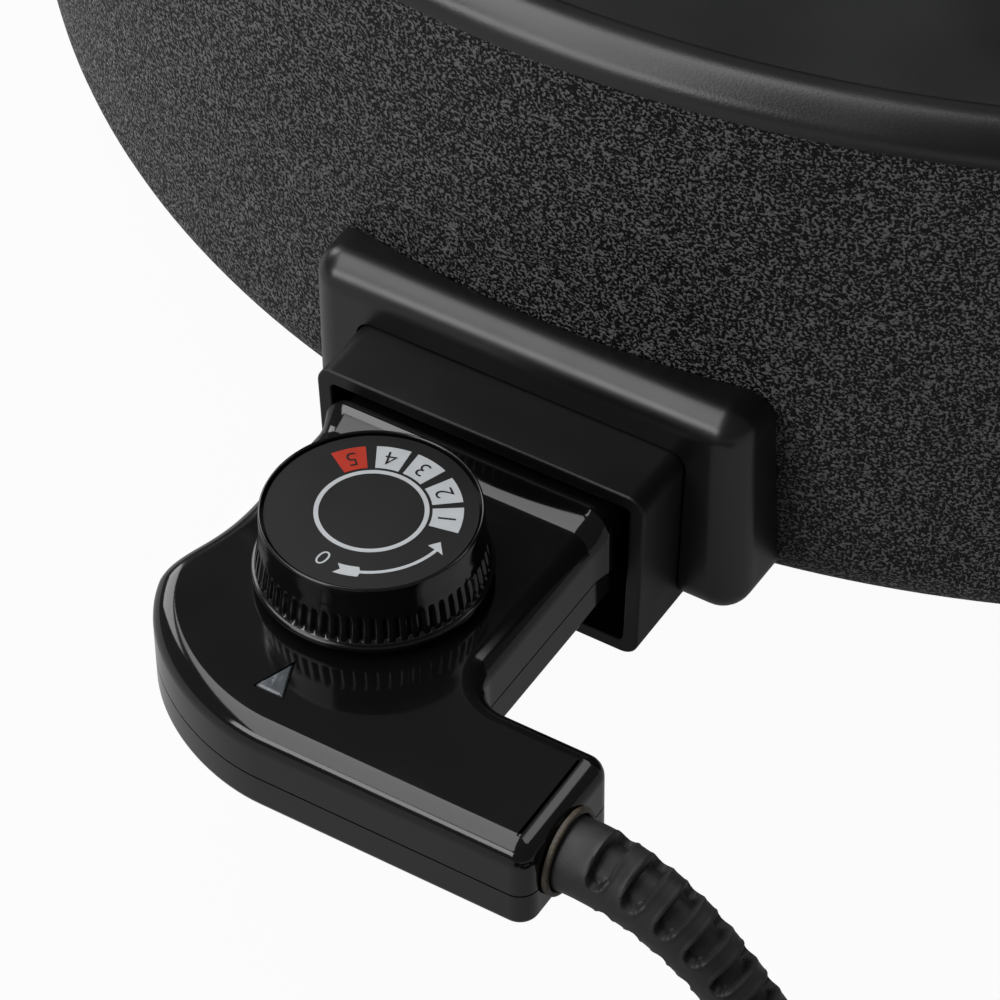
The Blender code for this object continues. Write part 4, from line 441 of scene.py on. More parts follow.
class NodeGroups:
    """Shader node groups that the finishes share."""

    @staticmethod
    def start(name: str, inputs: Sequence[tuple[str, str]]) -> tuple:
        """Open a group with its sockets.

        Args:
            name: Name of the group.
            inputs: Names and kinds of its inputs.

        Returns:
            The tree, its input node and its output node.
        """
        tree = bpy.data.node_groups.new(name, "ShaderNodeTree")
        for label, kind in inputs:
            tree.interface.new_socket(label, in_out="INPUT", socket_type=kind)
        for label, kind in (
            ("Color", "NodeSocketColor"),
            ("Roughness", "NodeSocketFloat"),
            ("Height", "NodeSocketFloat"),
        ):
            tree.interface.new_socket(label, in_out="OUTPUT", socket_type=kind)
        return tree, tree.nodes.new("NodeGroupInput"), tree.nodes.new("NodeGroupOutput")

    @staticmethod
    def noise(tree: Tree, vector: Link, scale: Link, detail: float) -> bpy.types.Node:
        """A noise texture whose scale comes from a socket."""
        node = tree.nodes.new("ShaderNodeTexNoise")
        node.inputs["Detail"].default_value = detail
        tree.links.new(vector, node.inputs["Vector"])
        tree.links.new(scale, node.inputs["Scale"])
        return node

    @staticmethod
    def blend(tree: Tree, share: Link, first: Link, second: Link) -> Link:
        """Mix two colours and return the result."""
        node = tree.nodes.new("ShaderNodeMix")
        node.data_type = "RGBA"
        tree.links.new(share, node.inputs[0])
        tree.links.new(first, node.inputs[6])
        tree.links.new(second, node.inputs[7])
        return node.outputs[2]

    @staticmethod
    def spread(tree: Tree, value: Link, low: float, high: float) -> bpy.types.Node:
        """Map a stretch of a value to 0 and 1."""
        node = tree.nodes.new("ShaderNodeMapRange")
        node.inputs["From Min"].default_value = low
        node.inputs["From Max"].default_value = high
        tree.links.new(value, node.inputs["Value"])
        return node

    @classmethod
    def surface(cls) -> Tree:
        """Fine grain over broad patches, for moulded, rubber, ceramic and metal faces."""
        found = bpy.data.node_groups.get("fine_surface")
        if found:
            return found
        tree, given, out = cls.start(
            "fine_surface",
            (
                ("Grain Scale", "NodeSocketFloat"),
                ("Patch Scale", "NodeSocketFloat"),
                ("Base", "NodeSocketColor"),
                ("Accent", "NodeSocketColor"),
                ("Rough Low", "NodeSocketFloat"),
                ("Rough High", "NodeSocketFloat"),
                ("Stretch", "NodeSocketVector"),
            ),
        )
        place = tree.nodes.new("ShaderNodeTexCoord")
        stretch = tree.nodes.new("ShaderNodeVectorMath")
        stretch.operation = "MULTIPLY"
        tree.links.new(place.outputs["Object"], stretch.inputs[0])
        tree.links.new(given.outputs["Stretch"], stretch.inputs[1])
        grain = cls.noise(tree, stretch.outputs[0], given.outputs["Grain Scale"], 3.0)
        patch = cls.noise(tree, place.outputs["Object"], given.outputs["Patch Scale"], 2.0)
        patches = cls.spread(tree, patch.outputs["Fac"], 0.35, 0.65)
        fine = cls.spread(tree, grain.outputs["Fac"], 0.3, 0.7)
        share = tree.nodes.new("ShaderNodeMath")
        share.operation = "MULTIPLY"
        tree.links.new(patches.outputs[0], share.inputs[0])
        tree.links.new(fine.outputs[0], share.inputs[1])
        colour = cls.blend(tree, share.outputs[0], given.outputs["Base"], given.outputs["Accent"])
        tree.links.new(colour, out.inputs["Color"])
        rough = tree.nodes.new("ShaderNodeMapRange")
        tree.links.new(patch.outputs["Fac"], rough.inputs["Value"])
        rough.inputs["From Min"].default_value = 0.3
        rough.inputs["From Max"].default_value = 0.7
        tree.links.new(given.outputs["Rough Low"], rough.inputs["To Min"])
        tree.links.new(given.outputs["Rough High"], rough.inputs["To Max"])
        tree.links.new(rough.outputs[0], out.inputs["Roughness"])
        tree.links.new(grain.outputs["Fac"], out.inputs["Height"])
        return tree

    @classmethod
    def hammered(cls) -> Tree:
        """Wrinkled, hammered paint: raised worm-like cells, with a painted highlight on the crests
        and painted shade in the dark valleys.
        """
        found = bpy.data.node_groups.get("hammered_skin_painted_light")
        if found:
            return found
        tree, given, out = cls.start(
            "hammered_skin_painted_light",
            (
                ("Cell Scale", "NodeSocketFloat"),
                ("Warp Scale", "NodeSocketFloat"),
                ("Base", "NodeSocketColor"),
                ("Accent", "NodeSocketColor"),
                ("Rough Low", "NodeSocketFloat"),
                ("Rough High", "NodeSocketFloat"),
            ),
        )
        place = tree.nodes.new("ShaderNodeTexCoord")
        warp = cls.noise(tree, place.outputs["Object"], given.outputs["Warp Scale"], 2.0)
        push = tree.nodes.new("ShaderNodeVectorMath")
        push.operation = "SCALE"
        push.inputs["Scale"].default_value = 0.3 * MM
        tree.links.new(warp.outputs["Color"], push.inputs[0])
        moved = tree.nodes.new("ShaderNodeVectorMath")
        moved.operation = "ADD"
        tree.links.new(place.outputs["Object"], moved.inputs[0])
        tree.links.new(push.outputs[0], moved.inputs[1])
        wrinkle = cls.noise(tree, moved.outputs[0], given.outputs["Cell Scale"], 1.0)
        crest = cls.spread(tree, wrinkle.outputs["Fac"], 0.48, 0.60)
        height = tree.nodes.new("ShaderNodeMath")
        height.operation = "MULTIPLY_ADD"
        height.inputs[1].default_value = 0.6
        tree.links.new(crest.outputs[0], height.inputs[0])
        tree.links.new(wrinkle.outputs["Fac"], height.inputs[2])
        # Colour: the crests get a painted highlight in the accent colour, the valleys painted shade
        # in the near-black base.
        colour = cls.blend(tree, crest.outputs[0], given.outputs["Base"], given.outputs["Accent"])
        rough = tree.nodes.new("ShaderNodeMapRange")
        tree.links.new(crest.outputs[0], rough.inputs["Value"])
        tree.links.new(given.outputs["Rough High"], rough.inputs["To Min"])
        tree.links.new(given.outputs["Rough Low"], rough.inputs["To Max"])
        tree.links.new(colour, out.inputs["Color"])
        tree.links.new(rough.outputs[0], out.inputs["Roughness"])
        tree.links.new(height.outputs[0], out.inputs["Height"])
        return tree


@dataclass(frozen=True)
class Finish:
    """One finish: its colours, its gloss and the size of its grain."""

    name: str
    slot: str
    base: Colour
    # For the hammered grain the accent colour is a painted highlight on the crests; for the other
    # grains it is a tone that varies at random.
    accent: Colour
    roughness: tuple[float, float]
    grain: Grain = Grain.MOULDED
    grain_size: float = 0.4 * MM
    grain_depth: float = 0.01 * MM
    patch_size: float = 12 * MM
    metallic: float = 0.0
    specular: float = 0.5
    transmission: float = 0.0
    stretch: Colour = (1.0, 1.0, 1.0)

    def material(self) -> bpy.types.Material:
        """The material, made once."""
        found = bpy.data.materials.get(self.name)
        if found:
            return found
        material = bpy.data.materials.new(self.name)
        material.use_nodes = True
        tree = material.node_tree
        shader = tree.nodes["Principled BSDF"]
        shader.inputs["Metallic"].default_value = self.metallic
        shader.inputs["Specular IOR Level"].default_value = self.specular
        shader.inputs["Transmission Weight"].default_value = self.transmission
        group = tree.nodes.new("ShaderNodeGroup")
        group.location = (-420, 0)
        if self.grain is Grain.HAMMERED:
            group.node_tree = NodeGroups.hammered()
            group.inputs["Cell Scale"].default_value = 1 / self.grain_size
            group.inputs["Warp Scale"].default_value = 1 / self.patch_size
        else:
            group.node_tree = NodeGroups.surface()
            group.inputs["Grain Scale"].default_value = 1 / self.grain_size
            group.inputs["Patch Scale"].default_value = 1 / self.patch_size
            group.inputs["Stretch"].default_value = self.stretch
        group.inputs["Base"].default_value = (*self.base, 1)
        group.inputs["Accent"].default_value = (*self.accent, 1)
        group.inputs["Rough Low"].default_value = self.roughness[0]
        group.inputs["Rough High"].default_value = self.roughness[1]
        bump = tree.nodes.new("ShaderNodeBump")
        bump.location = (-200, -240)
        bump.inputs["Strength"].default_value = 1.0
        bump.inputs["Distance"].default_value = self.grain_depth
        tree.links.new(group.outputs["Color"], shader.inputs["Base Color"])
        tree.links.new(group.outputs["Roughness"], shader.inputs["Roughness"])
        tree.links.new(group.outputs["Height"], bump.inputs["Height"])
        tree.links.new(bump.outputs["Normal"], shader.inputs["Normal"])
        return material


class Finishes:
    """Every finish of the object."""

    # Hammered paint: its accent colour is a painted highlight on the crests, its near-black base is
    # painted shade in the valleys.
    hammered = Finish(
        "hammered_paint", "hammered_black", (0.0015, 0.0015, 0.0017), (0.15, 0.15, 0.154),
        (0.26, 0.60), Grain.HAMMERED, 0.52 * MM, 0.22 * MM, 0.8 * MM, specular=0.24,
    )
    coating = Finish(
        "satin_coating", "nonstick_coating", (0.0020, 0.0022, 0.0026), (0.005, 0.0055, 0.0065),
        (0.28, 0.36), grain_size=0.45 * MM, grain_depth=0.02 * MM, patch_size=30 * MM,
        specular=0.65,
    )
    satin = Finish(
        "satin_moulding", "satin_black", (0.0045, 0.0045, 0.005), (0.007, 0.007, 0.0075),
        (0.28, 0.34), grain_size=0.3 * MM, grain_depth=0.004 * MM, patch_size=18 * MM,
        specular=0.6,
    )
    matte = Finish(
        "matte_moulding", "matte_black", (0.005, 0.005, 0.0053), (0.008, 0.008, 0.0085),
        (0.40, 0.50), grain_size=0.3 * MM, grain_depth=0.008 * MM, patch_size=15 * MM,
        specular=0.35,
    )
    gloss = Finish(
        "gloss_moulding", "gloss_black", (0.0045, 0.0045, 0.005), (0.0065, 0.0065, 0.007),
        (0.07, 0.12), grain_size=0.6 * MM, grain_depth=0.0008 * MM, patch_size=22 * MM,
        specular=0.42,
    )
    knob_gloss = Finish(
        "knob_moulding", "gloss_black", (0.0045, 0.0045, 0.005), (0.007, 0.007, 0.0075),
        (0.09, 0.16), grain_size=0.5 * MM, grain_depth=0.0012 * MM, patch_size=9 * MM,
    )
    dial = Finish(
        "dial_ground", "satin_black", (0.003, 0.003, 0.0035), (0.004, 0.004, 0.0045),
        (0.35, 0.45), grain_size=0.3 * MM, grain_depth=0.001 * MM, specular=0.25,
    )
    print_grey = Finish(
        "dial_print_grey", "satin_black", (0.46, 0.48, 0.50), (0.52, 0.54, 0.56),
        (0.45, 0.55), grain_size=0.15 * MM, grain_depth=0.001 * MM, patch_size=2 * MM,
        specular=0.25,
    )
    print_red = Finish(
        "dial_print_red", "satin_black", (0.40, 0.020, 0.004), (0.46, 0.026, 0.006),
        (0.45, 0.55), grain_size=0.15 * MM, grain_depth=0.001 * MM, patch_size=2 * MM,
        specular=0.25,
    )
    rubber = Finish(
        "cord_rubber", "black_rubber", (0.010, 0.010, 0.0105), (0.017, 0.017, 0.018),
        (0.50, 0.65), grain_size=0.35 * MM, grain_depth=0.02 * MM, patch_size=8 * MM,
    )
    boot = Finish(
        "boot_rubber", "black_rubber", (0.014, 0.014, 0.015), (0.024, 0.024, 0.026),
        (0.45, 0.62), grain_size=0.3 * MM, grain_depth=0.03 * MM, patch_size=4 * MM,
    )
    bushing = Finish(
        "bushing_board", "brown_phenolic", (0.035, 0.026, 0.018), (0.11, 0.085, 0.055),
        (0.40, 0.60), grain_size=0.5 * MM, grain_depth=0.05 * MM, patch_size=1.5 * MM,
    )
    plated = Finish(
        "dull_plating", "plated_steel", (0.48, 0.49, 0.50), (0.56, 0.57, 0.58),
        (0.30, 0.44), Grain.BRUSHED, 0.5 * MM, 0.006 * MM, 6 * MM, metallic=1.0,
    )
    steel = Finish(
        "drawn_steel", "steel", (0.52, 0.52, 0.53), (0.60, 0.60, 0.61),
        (0.22, 0.36), Grain.BRUSHED, 0.5 * MM, 0.004 * MM, 8 * MM, metallic=1.0,
        stretch=(1.0, 0.12, 1.0),
    )
    aluminium = Finish(
        "mill_aluminium", "cast_aluminium", (0.55, 0.56, 0.57), (0.64, 0.65, 0.66),
        (0.35, 0.5), Grain.BRUSHED, 0.8 * MM, 0.01 * MM, 14 * MM, metallic=1.0,
    )
    brass = Finish(
        "aged_brass", "brass", (0.62, 0.45, 0.20), (0.74, 0.57, 0.28),
        (0.24, 0.38), Grain.POLISHED, 0.4 * MM, 0.003 * MM, 3 * MM, metallic=1.0,
    )
    ceramic = Finish(
        "raw_ceramic", "ceramic", (0.74, 0.71, 0.64), (0.83, 0.81, 0.75),
        (0.45, 0.6), grain_size=0.4 * MM, grain_depth=0.015 * MM, patch_size=6 * MM,
    )
    lens = Finish(
        "pilot_window", "clear_lens", (0.10, 0.11, 0.12), (0.20, 0.22, 0.24),
        (0.05, 0.12), Grain.POLISHED, 0.6 * MM, 0.004 * MM, 1.5 * MM, transmission=0.3,
    )
    lamp = Finish(
        "neon_glass", "lamp_glass", (0.75, 0.42, 0.26), (0.85, 0.52, 0.34),
        (0.05, 0.12), Grain.POLISHED, 0.6 * MM, 0.002 * MM, 2 * MM, transmission=0.6,
    )


def finish_piece(
    bm: Shape,
    name: str,
    body: Body,
    finish: Finish,
    nodes: Sequence[str] = (),
    angle: float = 32.0,
    weighted: bool = False,
) -> bpy.types.Object:
    """Make a piece of the object from a finished shape.

    Args:
        bm: The shape, which is used up.
        name: Name of the piece.
        body: Moving body that it rides on.
        finish: Its finish.
        nodes: Solids that it stands for.
        angle: Angle in degrees past which an edge is sharp.
        weighted: Whether flat faces lead the shading of rounded edges.

    Returns:
        The piece.
    """
    piece = hold(bm, name)
    piece.data.materials.append(finish.material())
    piece.data.shade_smooth()
    piece.data.set_sharp_from_angle(angle=math.radians(angle))
    if weighted:
        normals = piece.modifiers.new("face_led_normals", "WEIGHTED_NORMAL")
        normals.keep_sharp = True
    ride(piece, body, finish, nodes)
    return piece


def ride(piece: bpy.types.Object, body: Body, finish: Finish, nodes: Sequence[str]) -> None:
    """Hang a piece on its body and hide the solids that it stands for."""
    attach(piece, body.value)
    if nodes:
        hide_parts(*nodes)
    LOG.info("%s rides on %s", piece.name, body.value)


def dress(node: str, finish: Finish) -> None:
    """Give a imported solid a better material."""
    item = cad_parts[node]
    item.material_slots[0].material = finish.material()
    LOG.info("%s is dressed in %s", node, finish.name)


def foot_screw_bores(level: float) -> list[Shape]:
    """Tools that bore the four foot screws' holes through a sheet at a level."""
    feet = [middle(f"foot_{number}") for number in range(1, 5)]
    base = level - OVERRUN
    return [rod(FOOT_SCREW_BORE, 6 * MM, "Z", (foot.x, foot.y, base), 24) for foot in feet]


@dataclass
class Wall:
    """Outer wall of the pan, as the pieces that stand against it need it."""

    centre: Vector = field(default_factory=lambda: middle("outer_shell"))
    top: float = field(default_factory=lambda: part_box("outer_shell")[1].z)
    base: float = field(default_factory=lambda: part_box("outer_shell")[0].z)
    top_radius: float = 201.5 * MM
    taper: float = 0.0768
    foot_radius: float = 13.4 * MM
    sheet: float = 1.2 * MM
    opening_radius: float = 150 * MM

    def radius(self, height: float) -> float:
        """Outer radius of the wall at a height above its rounded foot."""
        return self.top_radius - self.taper * (self.top - height)

    def line(self, growth: float, count: int = 14) -> list[Point]:
        """Outer line from the top to the flat foot.

        Args:
            growth: Distance by which the line is moved outwards.
            count: Steps round the foot.

        Returns:
            Radius and height of each point.
        """
        foot = self.base + self.foot_radius
        centre = (self.radius(foot) - self.foot_radius, foot)
        middle_height = foot + 0.4 * (self.top - foot)
        line = [(self.top_radius + growth, self.top)]
        line.append((self.radius(middle_height) + growth, middle_height))
        line += arc(centre, self.foot_radius + growth, 0, -90, count)
        return line

    def solid(self, growth: float) -> Shape:
        """The wall's form as a solid, for cutting what stands against it."""
        line = self.line(growth)
        high = self.top + self.foot_radius
        profile = [(0.0, high), (line[0][0], high), *line, (0.0, line[-1][1])]
        return shift(revolve(profile, 240), (0, self.centre.y, 0))


@dataclass
class Studio:
    """Camera, lamps, world and floor."""

    camera_place: Vector = field(default_factory=lambda: Vector((0.2955, -0.6391, 0.5797)))
    azimuth: float = 32.16
    elevation: float = 44.85
    roll: float = -0.70
    sensor: float = 36.0
    focal_share: float = 4.9406
    clip_start: float = 0.01
    clip_end: float = 50.0
    floor_size: float = 6.0
    world_level: float = 0.12
    world_gloss: float = 0.02
    floor_gloss: float = 0.20
    floor_grey: float = 0.35
    floor_white: float = 0.96
    lamps: tuple[tuple[str, Offset, Offset, Point, float], ...] = (
        ("top_strip", (-0.52, -0.36, 1.09), (0.0, -0.36, 0.0), (2.04, 0.55), 13.0),
        ("front_panel", (-0.62, -1.35, 0.65), (0.0, 0.0, 0.0), (0.9, 0.45), 8.0),
        ("left_softbox", (-0.96, 0.42, 0.59), (-0.05, 0.1, 0.0), (0.6, 0.6), 5.5),
        ("back_softbox", (0.34, 0.75, 0.94), (0.0, 0.0, 0.0), (0.8, 0.35), 2.2),
    )

    def build(self) -> None:
        """Set up the whole studio."""
        self.place_camera()
        self.light_world()
        self.lay_floor()
        self.hang_lamps()
        bpy.context.scene.view_settings.view_transform = "Standard"

    def place_camera(self) -> None:
        """Camera at the photograph's place, angle and field of view."""
        azimuth, elevation = math.radians(self.azimuth), math.radians(self.elevation)
        forward = Vector(
            (
                -math.sin(azimuth) * math.cos(elevation),
                math.cos(azimuth) * math.cos(elevation),
                -math.sin(elevation),
            )
        )
        level = Vector((math.cos(azimuth), math.sin(azimuth), 0.0))
        rise = level.cross(forward)
        turn = math.radians(self.roll)
        right = math.cos(turn) * level + math.sin(turn) * rise
        upward = -math.sin(turn) * level + math.cos(turn) * rise
        data = bpy.data.cameras.new("camera")
        data.sensor_width = self.sensor
        data.lens = self.sensor * self.focal_share
        data.clip_start = self.clip_start
        data.clip_end = self.clip_end
        camera = bpy.data.objects.new("camera", data)
        bpy.context.scene.collection.objects.link(camera)
        place = Matrix((right, upward, -forward)).transposed().to_4x4()
        place.translation = self.camera_place
        camera.matrix_world = place
        bpy.context.scene.camera = camera

    def light_world(self) -> None:
        """Plain soft light all round, white where the camera sees it."""
        world = bpy.data.worlds.new("studio_world")
        world.use_nodes = True
        tree = world.node_tree
        background = tree.nodes["Background"]
        background.inputs["Color"].default_value = (1, 1, 1, 1)
        level = tree.nodes.new("ShaderNodeMapRange")
        level.inputs["To Min"].default_value = self.world_level
        level.inputs["To Max"].default_value = 1.0
        tree.links.new(self.white_share(tree, self.world_gloss), level.inputs["Value"])
        tree.links.new(level.outputs[0], background.inputs["Strength"])
        bpy.context.scene.world = world

    @staticmethod
    def white_share(tree: Tree, gloss: float) -> Link:
        """Share of plain white that a ray meets.

        Args:
            tree: The material or world.
            gloss: Share that a reflection meets.

        Returns:
            A socket that gives 1 to the camera and through glass.
        """
        rays = tree.nodes.new("ShaderNodeLightPath")
        seen = tree.nodes.new("ShaderNodeMath")
        seen.operation = "MAXIMUM"
        tree.links.new(rays.outputs["Is Camera Ray"], seen.inputs[0])
        tree.links.new(rays.outputs["Is Transmission Ray"], seen.inputs[1])
        share = tree.nodes.new("ShaderNodeMath")
        share.operation = "MULTIPLY_ADD"
        share.inputs[1].default_value = gloss
        tree.links.new(rays.outputs["Is Glossy Ray"], share.inputs[0])
        tree.links.new(seen.outputs[0], share.inputs[2])
        return share.outputs[0]

    def lay_floor(self) -> None:
        """Pale floor that keeps a soft shadow of the object."""
        bm = bmesh.new()
        bmesh.ops.create_grid(bm, x_segments=1, y_segments=1, size=self.floor_size / 2)
        floor = hold(bm, "studio_floor")
        material = bpy.data.materials.new("studio_floor")
        material.use_nodes = True
        tree = material.node_tree
        tree.nodes.remove(tree.nodes["Principled BSDF"])
        matte = tree.nodes.new("ShaderNodeBsdfDiffuse")
        matte.inputs["Color"].default_value = (*[self.floor_grey] * 3, 1)
        white = tree.nodes.new("ShaderNodeEmission")
        white.inputs["Strength"].default_value = 1.0
        share = tree.nodes.new("ShaderNodeMath")
        share.operation = "MULTIPLY"
        share.inputs[1].default_value = self.floor_white
        tree.links.new(self.white_share(tree, self.floor_gloss), share.inputs[0])
        mix = tree.nodes.new("ShaderNodeMixShader")
        tree.links.new(share.outputs[0], mix.inputs[0])
        tree.links.new(matte.outputs[0], mix.inputs[1])
        tree.links.new(white.outputs[0], mix.inputs[2])
        tree.links.new(mix.outputs[0], tree.nodes["Material Output"].inputs["Surface"])
        floor.data.materials.append(material)

    def hang_lamps(self) -> None:
        """Soft lamps round the thermostat: above, in front, on the left and behind."""
        knob = middle("control_knob")
        for name, place, aim, size, power in self.lamps:
            self.lamp(name, knob + Vector(place), knob + Vector(aim), size, power)

    def lamp(self, name: str, place: Vector, aim: Vector, size: Point, power: float) -> None:
        """Hang one area lamp.

        Args:
            name: Name of the lamp.
            place: Where it hangs.
            aim: The point that it faces.
            size: Its width and height.
            power: Its power in watts.
        """
        data = bpy.data.lights.new(name, "AREA")
        data.shape = "RECTANGLE"
        data.size, data.size_y = size
        data.energy = power
        lamp = bpy.data.objects.new(name, data)
        bpy.context.scene.collection.objects.link(lamp)
        lamp.location = place
        lamp.rotation_euler = (aim - place).to_track_quat("-Z", "Y").to_euler()


@dataclass
class FreeCord:
    """Mains cord from the boot to the plug, its stored length wound in a flat coil."""

    radius: float = 3.5 * MM
    boot_length: float = 46 * MM
    exit_offset: float = -26.7 * MM
    route: tuple[tuple[float, float, float], ...] = (
        (0.0003, 0.0, 0.03475),
        (0.0060, 0.0, 0.03460),
        (0.0140, -0.00005, 0.03270),
        (0.0220, -0.00015, 0.02830),
        (0.0290, -0.0003, 0.02230),
        (0.0360, -0.0005, 0.01550),
        (0.0430, -0.0007, 0.00980),
        (0.0510, -0.0008, 0.00560),
        (0.0600, -0.0009, 0.00395),
        (0.0690, -0.0009, 0.00380),
    )
    turns_per_layer: float = 2.25
    middle_radius: float = 37.5 * MM
    pitch: float = 7.7 * MM
    points_per_turn: int = 48
    rise_turns: float = 0.25
    plug_radius: float = 17.5 * MM

    def points(self) -> list[Vector]:
        """The route's points, from the cord's hole in the head to the floor."""
        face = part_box("thermostat_upper_shell")[1].x
        side = middle("control_knob").y + self.exit_offset
        return [Vector((face + x, side + y, z)) for x, y, z in self.route]

    def line(self) -> list[Vector]:
        """Route outside the head, read finely."""
        return smooth_line(self.points(), self.radius / 4)

    def stretch(self, start: float, end: float) -> list[Vector]:
        """The part of the route between two distances along it."""
        points = self.line()
        taken = []
        along = 0.0
        for first, second in zip(points, points[1:]):
            if start <= along <= end:
                taken.append(first)
            along += (second - first).length
        if along <= end:
            taken.append(points[-1])
        return taken

    def coil(self) -> list[Vector]:
        """Centreline of the stored turns: in along one layer and out along the next."""
        turns = 2 * self.turns_per_layer
        swing = self.pitch * self.turns_per_layer
        outer = self.middle_radius + swing / 2
        start = self.points()[-1]
        centre = start + Vector((2 * self.radius + GAP, -outer, 0))
        plug_z = self.plug_radius + GAP
        points = []
        count = round(turns * self.points_per_turn)
        for step in range(count + 1):
            wound = turns * step / count
            away = abs(wound - self.turns_per_layer)
            radius = outer - swing + self.pitch * away
            angle = math.pi / 2 - math.tau * wound
            middle_turn = self.turns_per_layer
            climb = ease(wound, middle_turn - self.rise_turns, middle_turn + self.rise_turns)
            height = start.z + self.pitch * climb
            height += (plug_z - start.z - self.pitch) * ease(wound, turns - self.rise_turns, turns)
            x = centre.x + radius * math.cos(angle)
            y = centre.y + radius * math.sin(angle)
            points.append(Vector((x, y, height)))
        points.append(points[-1] - Vector((2 * self.radius, 0, 0)))
        return points

    def build(self, plug: Sequence[bpy.types.Object]) -> None:
        """Args:
            plug: The pieces on its far end; not used.
        """
        points = self.stretch(self.boot_length + GAP, math.inf) + self.coil()
        curve = bpy.data.curves.new("mains_cord", "CURVE")
        curve.dimensions = "3D"
        curve.bevel_depth = self.radius
        curve.bevel_resolution = 6
        curve.use_fill_caps = True
        spline = curve.splines.new("POLY")
        spline.points.add(len(points) - 1)
        for knot, place in zip(spline.points, points):
            knot.co = (*place, 1.0)
        spline.use_smooth = True
        curve.materials.append(Finishes.rubber.material())
        piece = bpy.data.objects.new("mains_cord", curve)
        bpy.context.scene.collection.objects.link(piece)
        ride(piece, Body.THERMOSTAT, Finishes.rubber, ("cord", "cord_coil"))
        line_length(points)


@dataclass
class StrainRelief:
    """Tapered boot with staggered half slots, and the bushing round its foot."""

    cord: FreeCord
    radius: float = 5.9 * MM
    end_radius: float = 4.6 * MM
    tail_radius: float = 3.6 * MM
    inner_radius: float = 5.4 * MM
    inner_length: float = 9.1 * MM
    collar: float = 5.2 * MM
    slot_pitch: float = 5.6 * MM
    slot_half: float = 1.5 * MM
    slot_depth: float = 1.7 * MM
    slot_reach: float = math.radians(72)
    slot_count: int = 6
    inside: float = field(default_factory=lambda: 50.3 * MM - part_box("strain_relief_boot")[0].x)

    def outer(self, along: float, turn: float) -> float:
        """Radius of the boot at a distance from the face and a turn from its top."""
        length = self.cord.boot_length
        if along < 0:
            return self.inner_radius if along > -self.inner_length else self.tail_radius
        share = max(along - self.collar, 0) / (length - self.collar)
        radius = self.radius + (self.end_radius - self.radius) * share
        radius -= 0.6 * MM * ease(along, length - 1.0 * MM, length)
        depth = 0.0
        for number in range(2 * self.slot_count):
            middle_along = self.collar + self.slot_half * 1.4 + self.slot_pitch * number / 2
            facing = 0.0 if number % 2 == 0 else math.pi
            away = abs((turn - facing + math.pi) % math.tau - math.pi) / self.slot_reach
            near = abs(along - middle_along) / self.slot_half
            spread = math.sqrt(near**2 + away**6)
            depth = max(depth, 1 - ease(spread, 0.78, 1.0))
            lip = math.exp(-(((spread - 1.18) / 0.16) ** 2))
            radius += 0.12 * MM * lip
        return radius - self.slot_depth * depth

    def build(self) -> None:
        """Shape the boot along the cord's route, and the bushing."""
        face = self.cord.points()[0]
        line = [face - Vector((self.inside, 0, 0))]
        line += [line[0].lerp(face, step / 14) for step in range(1, 14)]
        line += self.cord.stretch(0.0, self.cord.boot_length)
        line = read_evenly(line, 0.28 * MM)
        total = line_length(line)

        def place(share: float, turn: float) -> Vector:
            index = min(int(round(share * (len(line) - 1))), len(line) - 1)
            before = line[max(index - 1, 0)]
            after = line[min(index + 1, len(line) - 1)]
            forward = (after - before).normalized()
            across = Vector((0, -1, 0))
            rise = (-across).cross(forward).normalized()
            rise = rise if rise.z > 0 else -rise
            radius = self.outer(share * total - self.inside, turn)
            return line[index] + radius * (math.cos(turn) * rise + math.sin(turn) * across)

        boot = wrapped(len(line) - 1, 96, place)
        nodes = ("strain_relief_boot",)
        finish_piece(boot, "strain_relief", Body.THERMOSTAT, Finishes.boot, nodes, 50)
        low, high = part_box("gland_ring")
        inner = self.radius + GAP
        outer = (high.y - low.y) / 2
        width = high.x - low.x
        edge = 0.35 * MM
        profile = [(inner, 0.0), (outer, 0.0)]
        profile += arc((outer - edge, width - edge), edge, 0, 90, 5)
        profile += [(inner + 0.2 * MM, width), (inner, width - 0.2 * MM)]
        ring = revolve(profile, 96, closed=True)
        stand(ring, "X")
        shift(ring, (low.x, (low.y + high.y) / 2, (low.z + high.z) / 2))
        finish_piece(ring, "cord_bushing", Body.THERMOSTAT, Finishes.bushing, ("gland_ring",))


